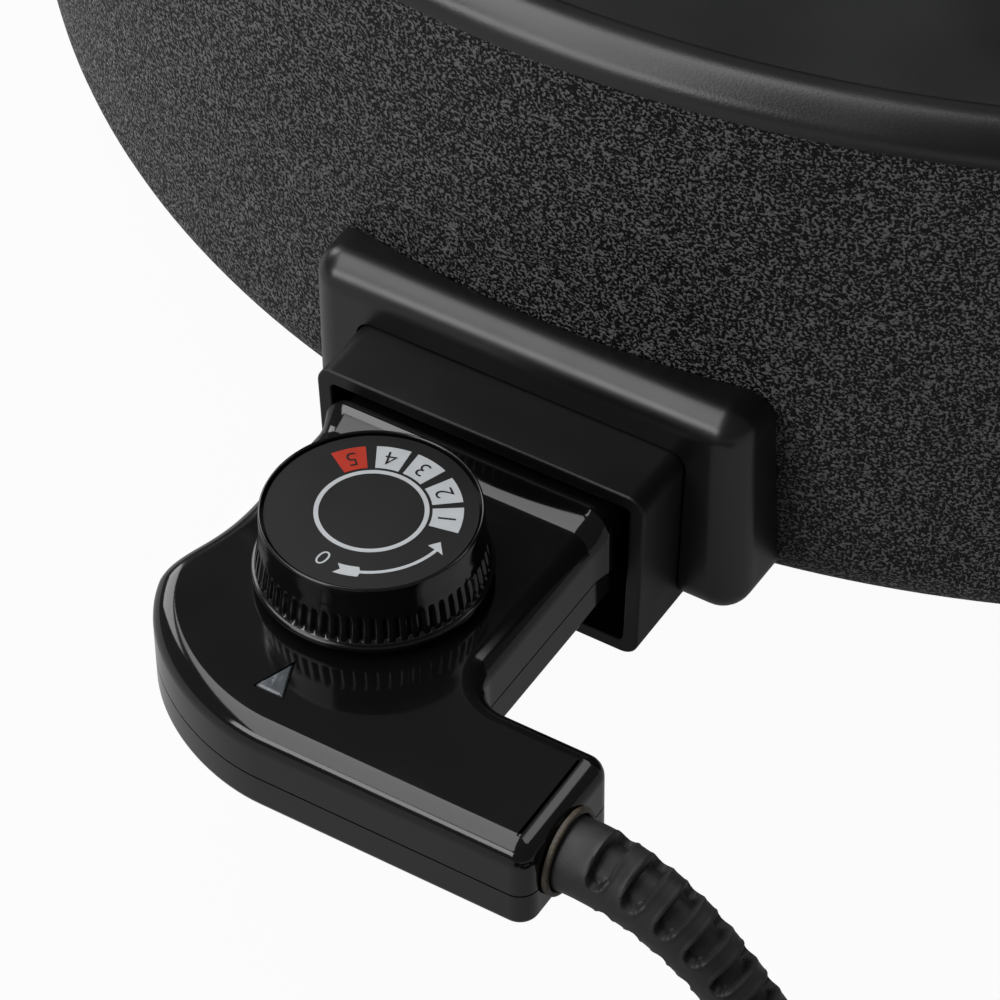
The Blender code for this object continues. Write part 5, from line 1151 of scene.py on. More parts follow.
@dataclass
class MainsPlug:
    """Round two-pin plug with grip flutes."""

    box: tuple = field(default_factory=lambda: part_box("plug_body"))
    neck: float = 18 * MM
    taper: float = 14 * MM
    body_length: float = 28 * MM
    waist_radius: float = 10 * MM
    neck_radius: float = 5.5 * MM
    tail_radius: float = 4.2 * MM
    pin_radius: float = 2.4 * MM
    pin_offset: float = 9.5 * MM
    pin_length: float = 19 * MM
    pin_socket: float = 4 * MM
    edge: float = 2 * MM

    def build(self) -> list[bpy.types.Object]:
        """Make the plug's body and its pins.

        Returns:
            The body and the pins.
        """
        low, high = self.box
        radius = (high.z - low.z) / 2
        tail = Vector((high.x, (low.y + high.y) / 2, (low.z + high.z) / 2))
        waist = self.neck + self.taper
        front = waist + self.body_length
        profile = [(0.0, 0.0), (self.tail_radius, 0.0)]
        for rib in range(5):
            along = self.neck * (rib + 0.5) / 5
            here = self.tail_radius + (self.neck_radius - self.tail_radius) * along / self.neck
            profile += [(here, along - 1.2 * MM), (here - 0.7 * MM, along - 0.7 * MM)]
            profile += [(here - 0.7 * MM, along + 0.3 * MM), (here, along + 0.8 * MM)]
        profile += [(self.neck_radius, self.neck), (self.waist_radius, self.neck + self.edge)]
        profile += [(radius - self.edge * 0.4, waist - 0.6 * MM)]
        profile += arc((radius - self.edge, waist + self.edge), self.edge, -50, 0, 5)
        profile += [(radius, front - self.edge - step * 2 * MM) for step in range(9, 0, -1)]
        profile += arc((radius - self.edge, front - self.edge), self.edge, 0, 90, 6)
        profile.append((0.0, front))
        body = revolve(profile, 144)
        for vert in body.verts:
            reach = math.hypot(vert.co.x, vert.co.y)
            if reach > radius - 0.3 * MM:
                turn = math.atan2(vert.co.y, vert.co.x)
                flute = max(math.cos(18 * turn), 0.0) ** 2
                share = ease(vert.co.z, waist + 4 * MM, waist + 8 * MM)
                share *= 1 - ease(vert.co.z, front - 9 * MM, front - 5 * MM)
                scale = 1 - 0.5 * MM * flute * share / reach
                vert.co.x *= scale
                vert.co.y *= scale
        stand(body, "-X")
        shift(body, tail)
        face = tail.x - front
        length = self.pin_length + self.pin_socket
        holes, pins = [], []
        for side in (-1, 1):
            across = tail.y + side * self.pin_offset
            place = Vector((face + self.pin_socket - length, across, tail.z))
            holes.append(rod(self.pin_radius + GAP, length + GAP, "X", place))
            tip = self.pin_radius * 0.5
            profile = [(0.0, 0.0), (self.pin_radius - tip, 0.0)]
            profile += arc((self.pin_radius - tip, tip), tip, -90, 0, 6)
            profile += [(self.pin_radius, length), (0.0, length)]
            pin = revolve(profile, 40)
            stand(pin, "X")
            pins.append(shift(pin, place))
        body = combine(body, holes, Operation.CUT)
        pieces = [
            finish_piece(body, "mains_plug", Body.THERMOSTAT, Finishes.rubber, ("plug_body",), 40)
        ]
        for number, pin in enumerate(pins, start=1):
            node = f"plug_pin_{number}"
            pieces.append(
                finish_piece(pin, f"mains_{node}", Body.THERMOSTAT, Finishes.plated, (node,))
            )
        return pieces


@dataclass
class CookingBowl:
    """Coated bowl with its rolled rim."""

    box: tuple = field(default_factory=lambda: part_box("inner_pan"))
    bead_radius: float = 5.7 * MM
    depth: float = 70.2 * MM
    wall: float = 3.5 * MM
    floor: float = 4.5 * MM
    flat_radius: float = 165 * MM
    corner: float = 18 * MM
    skirt: float = 4.5 * MM
    seat: float = 200.0 * MM
    skirt_lean: float = 0.4 * MM
    boss_radius: float = 10 * MM
    boss_depth: float = 7.3 * MM
    bore: float = 3.3 * MM
    bore_depth: float = 8.5 * MM
    steps: int = 288

    def build(self) -> None:
        """Turn the bowl from its profile."""
        low, high = self.box
        rim_radius = (high.x - low.x) / 2
        bead_z = high.z - self.bead_radius
        floor_z = high.z - self.depth
        under = floor_z - self.floor
        centre = (rim_radius - self.bead_radius, bead_z)
        corner = (self.flat_radius, floor_z + self.corner)
        profile = [(0.0, floor_z), (self.flat_radius / 2, floor_z)]
        profile += arc(corner, self.corner, -90, 0, 16)
        inner = profile[-1]
        lip = (centre[0] - self.bead_radius, bead_z)
        profile += [
            (inner[0] + (lip[0] - inner[0]) * share, inner[1] + (lip[1] - inner[1]) * share)
            for share in (0.3, 0.6, 0.86)
        ]
        profile += arc(centre, self.bead_radius, 180, 0, 28)
        profile += [(self.seat, bead_z), (self.seat - self.skirt_lean, bead_z - self.skirt)]
        profile.append((lip[0] + self.wall, bead_z - self.skirt - self.wall))
        profile += arc(corner, self.corner + self.wall, 0, -70, 10)
        profile.append((self.flat_radius, under))
        boss = under - self.boss_depth
        top = boss + self.bore_depth
        profile += [(self.boss_radius, under), (self.boss_radius, boss)]
        profile += [(self.bore, boss), (self.bore, top), (0.0, top)]
        bowl = shift(revolve(profile, self.steps), (0, (low.y + high.y) / 2, 0))
        finish_piece(bowl, "cooking_bowl", Body.PAN, Finishes.coating, ("inner_pan",), 40)


@dataclass
class Socket:
    """Plinth and sleeve that the thermostat plugs into."""

    wall: Wall
    plinth_box: tuple = field(default_factory=lambda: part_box("socket_plinth"))
    sleeve_box: tuple = field(default_factory=lambda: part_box("socket_sleeve"))
    plinth_round: float = 5.6 * MM
    plinth_corner: float = 5.8 * MM
    least_corner: float = 0.9 * MM
    plinth_draft: float = 0.6 * MM
    sleeve_wall: float = 2.7 * MM
    sleeve_draft: float = 1.0 * MM
    sleeve_corner: float = 3.0 * MM
    mouth_corner: float = 0.8 * MM
    lip_round: float = 0.45 * MM
    screw_x: float = 35.2 * MM
    screw_z: float = 41 * MM
    screw_bore: float = 2.1 * MM

    def outline(self, growth: float, corner: float) -> list[Point]:
        """Section of the sleeve in X and Z."""
        low, high = self.sleeve_box
        half_top = high.x + growth
        half_base = high.x - self.sleeve_draft + growth
        top, base = high.z + growth, low.z - growth
        centres = (
            (half_base - corner, base + corner),
            (half_top - corner, top - corner),
            (-half_top + corner, top - corner),
            (-half_base + corner, base + corner),
        )
        return corner_arcs(centres, corner, 8)

    def bar(self, growth: float, corner: float, start: float, end: float) -> Shape:
        """A bar of the sleeve's section between two places along Y."""
        bar = plate(self.outline(growth, corner), 0.0, end - start)
        stand(bar, "-Y")
        return shift(bar, (0, end, 0))

    def plinth_section(self, inset: float, place: float) -> list[Sequence[float]]:
        """Outline of the plinth in X and Z at a place along Y.

        Args:
            inset: Distance inside its full outline.
            place: The place along Y.

        Returns:
            Points of the outline.
        """
        low, high = self.plinth_box
        corner = max(self.plinth_corner - inset, self.least_corner)
        margin = inset + corner
        half, top, base = high.x - margin, high.z - margin, low.z + margin
        centres = ((half, base), (half, top), (-half, top), (-half, base))
        return [(x, place, z) for x, z in corner_arcs(centres, corner, 8)]

    def build(self) -> None:
        """Make the plinth and the sleeve."""
        face = self.plinth_box[0].y
        back = self.wall.centre.y - self.wall.opening_radius
        sections = [self.plinth_section(0.0, back)]
        for step in range(15):
            turn = math.pi / 2 * step / 14
            inset = self.plinth_draft + self.plinth_round * (1 - math.cos(turn))
            place = face + self.plinth_round * (1 - math.sin(turn))
            sections.append(self.plinth_section(inset, place))
        plinth = loft(sections)
        tools = [self.wall.solid(GAP), self.bar(GAP, self.sleeve_corner, face - OVERRUN, back)]
        for side in (-1, 1):
            start = (side * self.screw_x, face + 2.5 * MM, self.screw_z)
            tools.append(rod(self.screw_bore, back - face, "Y", start, 24))
        plinth = combine(plinth, tools, Operation.CUT)
        finish_piece(plinth, "plinth", Body.PAN, Finishes.satin, ("socket_plinth",), 34, True)

        mouth, tail = self.sleeve_box[0].y, self.sleeve_box[1].y
        sleeve = self.bar(0.0, self.sleeve_corner, mouth, tail)
        bore = self.bar(-self.sleeve_wall, self.mouth_corner, mouth - OVERRUN, tail + OVERRUN)
        sleeve = combine(sleeve, [bore], Operation.CUT)
        front = [
            edge
            for edge in sleeve.edges
            if all(abs(vert.co.y - mouth) < MERGE for vert in edge.verts)
        ]
        sharp = [
            edge for edge in front if not edge.is_boundary and edge.calc_face_angle(0) > 1.0
        ]
        round_edges(sleeve, sharp, self.lip_round, 4)
        finish_piece(sleeve, "sleeve", Body.PAN, Finishes.matte, ("socket_sleeve",), 30, True)


@dataclass
class OuterShell:
    """Hammered wall with its openings."""

    wall: Wall
    socket: Socket
    steps: int = 288

    def build(self) -> None:
        """Turn the wall and cut its openings."""
        wall = self.wall
        outside = wall.line(0.0)
        inside = wall.line(-wall.sheet)
        inside.reverse()
        foot = [(wall.opening_radius, wall.base), (wall.opening_radius, wall.base + wall.sheet)]
        shell = revolve(outside + foot + inside, self.steps, closed=True)
        shift(shell, (0, wall.centre.y, 0))
        face = self.socket.plinth_box[0].y
        tools = [self.socket.bar(GAP, self.socket.sleeve_corner, face, face + 30 * MM)]
        tools += foot_screw_bores(wall.base)
        shell = combine(shell, tools, Operation.CUT)
        finish_piece(shell, "hammered_wall", Body.PAN, Finishes.hammered, ("outer_shell",), 40)


@dataclass
class ThermostatHead:
    """Two glossy shells with the neck, the finger ridge and the pilot lens."""

    upper_box: tuple = field(default_factory=lambda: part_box("thermostat_upper_shell"))
    lower_box: tuple = field(default_factory=lambda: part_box("thermostat_lower_shell"))
    knob: Vector = field(default_factory=lambda: middle("control_knob"))
    pin_z: float = field(default_factory=lambda: middle("sensing_probe").z)
    top: float = field(default_factory=lambda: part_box("pilot_lens")[1].z - 0.2 * MM)
    wall: float = 2.0 * MM
    front: float = 37.2 * MM
    left: float = 28.4 * MM
    arm_back: float = 13.0 * MM
    arm_corner: float = 3.2 * MM
    arm_fillet: float = 6.5 * MM
    neck: float = 25.2 * MM
    neck_left_start: float = 5.0 * MM
    nose: float = 50 * MM
    top_round: float = 3.8 * MM
    base_round: float = 1.4 * MM
    ridge_foot: float = 22.1 * MM
    ridge_crest: float = 26.3 * MM
    ridge_back: float = 27.6 * MM
    ridge_height: float = 2.7 * MM
    ridge_flare: float = 0.7 * MM
    lens_tip: float = 22.3 * MM
    lens_base: float = 28.8 * MM
    lens_half: float = 2.4 * MM
    cord_y: float = 26.7 * MM
    pin_bore: float = 3.1 * MM
    probe_bore: float = 3.3 * MM
    spindle_bore: float = 3.3 * MM
    cord_bore: float = 6.2 * MM
    post_radius: float = 4.5 * MM
    recess_radius: float = 3.0 * MM
    recess_depth: float = 2.6 * MM
    screw_bore: float = 1.7 * MM
    screw_places: tuple[Point, ...] = (
        (-17.5 * MM, -15 * MM),
        (27 * MM, -23 * MM),
        (16.5 * MM, 27 * MM),
    )

    def outline(self) -> list[Point]:
        """Plan of the head about the knob's axis, counterclockwise."""
        left, front = self.left, self.front
        start = (0.106 * left, -front)
        first = ((-0.317 * left, -front), (-0.845 * left, -0.78 * front), (-left, -0.457 * front))
        second = (
            (-1.032 * left, -0.39 * front),
            (-1.007 * left, -0.309 * front),
            (-0.972 * left, -0.228 * front),
        )
        third = ((-0.923 * left, -0.121 * front), (-0.887 * left, -0.027 * front))
        points = [start]
        points += bezier(start, *first, 26)
        points += bezier(first[-1], *second, 10)
        points += bezier(second[-1], *third, (-self.neck, self.neck_left_start), 14)
        points.append((-self.neck, self.nose))
        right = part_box("thermostat_upper_shell")[1].x
        points.append((self.neck, self.nose))
        fillet = self.arm_fillet
        points += arc((self.neck + fillet, -self.arm_back + fillet), fillet, 180, 270, 12)
        corner = self.arm_corner
        points += arc((right - corner, -self.arm_back - corner), corner, 90, 0, 10)
        points += arc((right - corner, -front + corner), corner, 0, -90, 10)
        points.reverse()
        return points

    def case(self, low: float, high: float, rounded: float, radius: float) -> Shape:
        """Solid form of one shell about the knob's axis.

        Args:
            low: Level of its lower side.
            high: Level of its upper side.
            rounded: Level of the closed side, whose edge is rounded.
            radius: Radius of that edge.

        Returns:
            The solid.
        """
        case = plate(self.outline(), low, high)
        round_edges(case, edges_at(case, rounded), radius, 8)
        return case

    def cavity(self, low: float, high: float) -> Shape:
        """Hollow between two levels, a wall's thickness inside the outline.

        Args:
            low: Its lower level.
            high: Its upper level.

        Returns:
            The tool that cuts it.
        """
        bm = bmesh.new()
        face = flat_face(bm, self.outline(), low)
        rim = bmesh.ops.inset_region(
            bm, faces=face, thickness=self.wall, use_boundary=True, use_even_offset=True
        )["faces"]
        bmesh.ops.delete(bm, geom=rim, context="FACES")
        return lift_faces(bm, bm.faces[:], high - low)

    def ridge(self, seam: float) -> Shape:
        """Finger ridge: the neck's section swept up a scooped ramp to a crest.

        Args:
            seam: Level of the parting seam, where the flange ends.

        Returns:
            The solid about the knob's axis.
        """
        height = self.top - seam
        corner = self.top_round
        section = [(self.neck, 0.0)]
        section += arc((self.neck - corner, height - corner), corner, 0, 90, 8)
        section += arc((-self.neck + corner, height - corner), corner, 90, 180, 8)
        section.append((-self.neck, 0.0))
        run = self.ridge_crest - self.ridge_foot
        shares = (0.0, 0.12, 0.25, 0.4, 0.55, 0.7, 0.82, 0.91, 1.0)
        stations = [(share * run, share**2.3) for share in shares]
        stations += [(run + 0.5 * MM, 0.98), (self.ridge_back - self.ridge_foot, 0.9)]
        sections = []
        for reach, rise in stations:
            wide = 1 + self.ridge_flare * rise / self.neck
            tall = 1 + self.ridge_height * rise / height
            place = self.ridge_foot + reach
            sections.append([(x * wide, place, seam + z * tall) for x, z in section])
        return loft(sections)

    def lens_outline(self, growth: float) -> list[Point]:
        """Pointer-shaped window: a tip towards the knob and an arc for its base."""
        half = math.degrees(math.asin(self.lens_half / self.lens_base))
        base = arc((0.0, 0.0), self.lens_base + growth, -90 - half, -90 + half, 12)
        spread = growth * (self.lens_base - self.lens_tip) / self.lens_half
        base[0] = (base[0][0] - growth, base[0][1])
        base[-1] = (base[-1][0] + growth, base[-1][1])
        return base + [(0.0, -self.lens_tip + min(spread, self.lens_half))]

    def openings(self) -> list[Shape]:
        """Tools for the pin, probe and cord holes, in the model's place."""
        tools = []
        start = self.knob.y + self.nose - self.wall - OVERRUN
        depth = self.wall + 2 * OVERRUN
        for node in ("line_pin_left", "earth_pin", "line_pin_right"):
            tools.append(rod(self.pin_bore, depth, "Y", (middle(node).x, start, self.pin_z)))
        tools.append(rod(self.probe_bore, depth, "Y", (0, start, self.pin_z)))
        inside = self.upper_box[1].x - self.wall - OVERRUN
        place = (inside, self.knob.y - self.cord_y, self.pin_z)
        tools.append(rod(self.cord_bore, depth, "X", place, 64))
        return tools

    def build(self) -> None:
        """Make both shells and the lens."""
        seam = self.upper_box[0].z
        place = (0, self.knob.y, 0)
        upper = self.case(seam, self.top, self.top, self.top_round)
        upper = combine(upper, [self.ridge(seam)], Operation.JOIN)
        upper = combine(upper, [self.cavity(seam - OVERRUN, self.top - self.wall)], Operation.CUT)
        shift(upper, place)
        depth = self.wall + 2 * OVERRUN
        start = (0, self.knob.y, self.top - depth + OVERRUN)
        window = plate(self.lens_outline(GAP), self.top - depth, self.top + OVERRUN)
        tools = [rod(self.spindle_bore, depth, "Z", start), shift(window, place)]
        upper = combine(upper, tools + self.openings(), Operation.CUT)
        nodes = ("thermostat_upper_shell",)
        finish_piece(upper, "head_top", Body.THERMOSTAT, Finishes.gloss, nodes, 30, True)

        low, high = self.lower_box[0].z, self.lower_box[1].z
        lower = self.case(low, high, low, self.base_round)
        lower = combine(lower, [self.cavity(low + self.wall, high + OVERRUN)], Operation.CUT)
        shift(lower, place)
        posts, recesses = [], []
        floor = low + self.wall / 2
        for x, offset in self.screw_places:
            y = self.knob.y + offset
            posts.append(rod(self.post_radius, high - low - self.wall / 2, "Z", (x, y, floor)))
            start = (x, y, low - OVERRUN)
            recesses.append(rod(self.recess_radius, self.recess_depth + OVERRUN, "Z", start))
            recesses.append(rod(self.screw_bore, high - low + 2 * OVERRUN, "Z", start, 24))
        lower = combine(lower, posts, Operation.JOIN)
        lower = combine(lower, recesses + self.openings(), Operation.CUT)
        nodes = ("thermostat_lower_shell",)
        finish_piece(lower, "head_base", Body.THERMOSTAT, Finishes.gloss, nodes, 30, True)

        lens_low, lens_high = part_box("pilot_lens")
        lens = plate(self.lens_outline(0.0), lens_low.z, lens_high.z)
        round_edges(lens, edges_at(lens, lens_high.z), 0.35 * MM, 4)
        shift(lens, place)
        finish_piece(lens, "pilot_window", Body.THERMOSTAT, Finishes.lens, ("pilot_lens",), 40)


@dataclass
class ControlKnob:
    """Knob with a raised lip and a fluted skirt, and its printed dial."""

    box: tuple = field(default_factory=lambda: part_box("control_knob"))
    radius: float = 17.1 * MM
    skirt: float = 17.35 * MM
    band: float = 17.95 * MM
    flange: float = 18.5 * MM
    lip: float = 0.5 * MM
    dial_radius: float = 16.3 * MM
    dial_thickness: float = 0.6 * MM
    flutes: int = 60
    flute_depth: float = 0.55 * MM
    print_thickness: float = 0.05 * MM
    ring_radius: float = 8.36 * MM
    ring_width: float = 0.72 * MM
    sector_inner: float = 9.2 * MM
    sector_outer: float = 13.9 * MM
    sector_span: float = 22.6
    sector_angles: tuple[float, ...] = (22.6, 50.2, 80.4, 107.9, 137.6)
    digit_radius: float = 11.65 * MM
    digit_height: float = 3.0 * MM
    zero_angle: float = -94.2
    zero_radius: float = 12.2 * MM
    arrow_radius: float = 12.9 * MM
    arrow_width: float = 0.55 * MM

    def build(self) -> None:
        """Make the knob, the dial and its print."""
        low, high = self.box
        place = ((low.x + high.x) / 2, (low.y + high.y) / 2, low.z)
        height = high.z - low.z
        self.turn_knob(place, height)
        dial_z = high.z - self.lip
        profile = [(0.0, -self.dial_thickness), (self.dial_radius, -self.dial_thickness)]
        profile += [(self.dial_radius, -0.08 * MM), (self.dial_radius - 0.08 * MM, 0.0), (0.0, 0.0)]
        dial = shift(revolve(profile, 180), (place[0], place[1], dial_z))
        finish_piece(dial, "dial_plate", Body.KNOB, Finishes.dial, ("dial_face",))
        self.print_dial((place[0], place[1], dial_z))

    def turn_knob(self, place: Sequence[float], height: float) -> None:
        """Turn the knob's body and press the flutes into its skirt."""
        recess = height - self.lip - self.dial_thickness - GAP
        profile = [(0.0, recess), (self.dial_radius + GAP, recess)]
        profile += [(self.dial_radius + GAP, height - 0.45 * MM)]
        edge = 0.25 * MM
        profile += arc((self.dial_radius + GAP + edge, height - edge), edge, 180, 90, 5)
        profile += arc((self.radius - 0.3 * MM, height - 0.3 * MM), 0.3 * MM, 90, 0, 6)
        for growth, depth in ((0.02, 1.2), (0.05, 3.0), (0.12, 4.4)):
            profile.append((self.radius + growth * MM, height - depth * MM))
        top, base = 6.6 * MM, 1.35 * MM
        rows = 18
        for row in range(rows + 1):
            share = row / rows
            level = top + (base - top) * share
            reach = self.skirt + (self.band - self.skirt) * ease(share, 0.0, 1.0)
            profile.append((reach, level))
        profile += [(self.band + 0.12 * MM, 1.2 * MM), (self.band + 0.1 * MM, 1.05 * MM)]
        profile += arc((self.flange - 0.3 * MM, 0.7 * MM), 0.3 * MM, 90, 0, 5)
        profile += arc((self.flange - 0.2 * MM, 0.2 * MM), 0.2 * MM, 0, -90, 4)
        profile += [(14.5 * MM, 0.0), (14.5 * MM, 8 * MM), (5.5 * MM, 8 * MM), (5.5 * MM, 0.5 * MM)]
        profile += [(3.3 * MM, 0.5 * MM), (3.3 * MM, 7.5 * MM), (0.0, 7.5 * MM)]
        knob = revolve(profile, self.flutes * 10)
        for vert in knob.verts:
            reach = math.hypot(vert.co.x, vert.co.y)
            fluted = base - 0.05 * MM < vert.co.z < top + 0.05 * MM
            if reach < self.skirt - 0.05 * MM or not fluted:
                continue
            turn = (math.atan2(vert.co.y, vert.co.x) * self.flutes / math.tau) % 1.0
            groove = math.exp(-(((turn - 0.5) / 0.17) ** 2))
            share = ease(vert.co.z, base, base + 0.5 * MM)
            share *= 1 - ease(vert.co.z, top - 1.4 * MM, top)
            scale = 1 - self.flute_depth * groove * share / reach
            vert.co.x *= scale
            vert.co.y *= scale
        shift(knob, place)
        finish_piece(knob, "knob", Body.KNOB, Finishes.knob_gloss, ("control_knob",), 38)

    def band_shape(self, inner: float, outer: float, start: float, end: float) -> list[Point]:
        """Outline of a ring sector between two angles in degrees."""
        count = max(int(abs(end - start) / 3), 2)
        return arc((0, 0), outer, start, end, count) + arc((0, 0), inner, end, start, count)

    def stamp(
        self, outline: Sequence[Point], name: str, place: Sequence[float], finish: Finish
    ) -> None:
        """Print one flat shape on the dial.

        Args:
            outline: Its outline about the knob's axis.
            name: Name of the piece.
            place: Middle of the dial's face.
            finish: Its finish.
        """
        shape = shift(plate(outline, 0.0, self.print_thickness), place)
        finish_piece(shape, name, Body.KNOB, finish)

    def print_dial(self, place: Sequence[float]) -> None:
        """Ring, sectors with their numbers, zero and arrow."""
        half = self.ring_width / 2
        ring = revolve(
            [
                (self.ring_radius - half, 0.0),
                (self.ring_radius + half, 0.0),
                (self.ring_radius + half, self.print_thickness),
                (self.ring_radius - half, self.print_thickness),
            ],
            144,
            closed=True,
        )
        finish_piece(shift(ring, place), "dial_ring", Body.KNOB, Finishes.print_grey)
        last = len(self.sector_angles)
        for number, angle in enumerate(self.sector_angles, start=1):
            start, end = angle - self.sector_span / 2, angle + self.sector_span / 2
            shape = self.band_shape(self.sector_inner, self.sector_outer, start, end)
            finish = Finishes.print_red if number == last else Finishes.print_grey
            self.stamp(shape, f"dial_sector_{number}", place, finish)
            self.digit(str(number), angle, self.digit_radius, place, Finishes.dial, 1)
        self.digit("0", self.zero_angle, self.zero_radius, place, Finishes.print_grey, 0)
        self.arrow(place)

    def arrow(self, place: Sequence[float]) -> None:
        """Arrow from the zero to the first sector: notched tail, thin shaft and head."""
        reach, half = self.arrow_radius, self.arrow_width / 2
        tail = arc((0, 0), reach + 1.0 * MM, -82, -66, 6)
        tail += arc((0, 0), reach + half, -65, -9, 24)
        tail.append(polar(reach - 0.1 * MM + 1.5 * MM, -9.5))
        tail.append(polar(reach - 0.5 * MM, -1))
        tail.append(polar(reach - 0.1 * MM - 1.5 * MM, -9))
        tail += arc((0, 0), reach - half, -9, -65, 24)
        tail += arc((0, 0), reach - 1.0 * MM, -66, -82, 6)
        tail.append(polar(reach, -78.5))
        self.stamp(tail, "dial_arrow", place, Finishes.print_grey)

    def digit(
        self,
        text: str,
        angle: float,
        reach: float,
        place: Sequence[float],
        finish: Finish,
        lift: int,
    ) -> None:
        """Print one number with its top towards the middle of the dial.

        Args:
            text: The number.
            angle: Where it stands, in degrees from +X.
            reach: Its distance from the knob's axis.
            place: Middle of the dial's face.
            finish: Its finish.
            lift: Number of print layers under it.
        """
        curve = bpy.data.curves.new(f"number_{text}", "FONT")
        curve.body = text
        curve.size = self.digit_height * 1.37
        curve.offset = -0.045 * MM
        curve.align_x = "CENTER"
        curve.align_y = "CENTER"
        curve.extrude = self.print_thickness / 2
        curve.resolution_u = 8
        holder = bpy.data.objects.new("number_holder", curve)
        bpy.context.scene.collection.objects.link(holder)
        depsgraph = bpy.context.evaluated_depsgraph_get()
        mesh = bpy.data.meshes.new_from_object(holder.evaluated_get(depsgraph))
        shape = bmesh.new()
        shape.from_mesh(mesh)
        bpy.data.objects.remove(holder)
        bpy.data.curves.remove(curve)
        bpy.data.meshes.remove(mesh)
        bmesh.ops.remove_doubles(shape, verts=shape.verts, dist=MERGE)
        upright = Matrix.Rotation(math.radians(angle) + math.pi / 2, 3, "Z")
        bmesh.ops.rotate(shape, verts=shape.verts, cent=(0, 0, 0), matrix=upright)
        shift(shape, (*polar(reach, angle), (lift + 0.5) * self.print_thickness))
        shift(shape, place)
        finish_piece(shape, f"dial_number_{text}", Body.KNOB, finish)


@dataclass
class SideHandles:
    """Two moulded handles with finger gaps."""

    wall: Wall
    span: float = 110 * MM
    corner: float = 15 * MM
    edge: float = 4.5 * MM
    gap_half: float = 34 * MM
    gap_start: float = 7 * MM
    gap_width: float = 17 * MM

    def build(self) -> None:
        """Make both handles."""
        for node, side in (("left_handle", -1), ("right_handle", 1)):
            low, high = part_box(node)
            middle_z = (low.z + high.z) / 2
            reach = max(abs(low.x), abs(high.x))
            wall = self.wall.radius(middle_z)
            half = self.span / 2
            corner = self.corner
            outline = arc((reach - corner, -half + corner), corner, -90, 0, 12)
            outline += arc((reach - corner, half - corner), corner, 0, 90, 12)
            outline += [(wall - 15 * MM, half), (wall - 15 * MM, -half)]
            start = wall + self.gap_start
            end = start + self.gap_width
            turn = self.gap_width / 3
            low_y, high_y = -self.gap_half + turn, self.gap_half - turn
            near, far = start + turn, end - turn
            centres = ((far, low_y), (far, high_y), (near, high_y), (near, low_y))
            gap = corner_arcs(centres, turn, 8)
            if side < 0:
                outline = [(-x, -y) for x, y in outline]
                gap = [(-x, -y) for x, y in gap]
            handle = plate(outline, low.z, high.z)
            rims = [*edges_at(handle, low.z), *edges_at(handle, high.z)]
            round_edges(handle, rims, self.edge, 8)
            tool = plate(gap, low.z - OVERRUN, high.z + OVERRUN)
            handle = combine(handle, [tool], Operation.CUT)
            rims = []
            for edge in handle.edges:
                level = {round(vert.co.z / MERGE) for vert in edge.verts}
                inner = all(
                    abs(vert.co.y) < self.gap_half + MERGE
                    and start - MERGE < abs(vert.co.x) < end + MERGE
                    for vert in edge.verts
                )
                if inner and level in ({round(low.z / MERGE)}, {round(high.z / MERGE)}):
                    rims.append(edge)
            round_edges(handle, rims, 1.2 * MM, 4)
            shift(handle, (0, self.wall.centre.y, 0))
            handle = combine(handle, [self.wall.solid(GAP)], Operation.CUT)
            name = f"{node.split('_')[0]}_grip"
            finish_piece(handle, name, Body.PAN, Finishes.matte, (node,), 34, True)


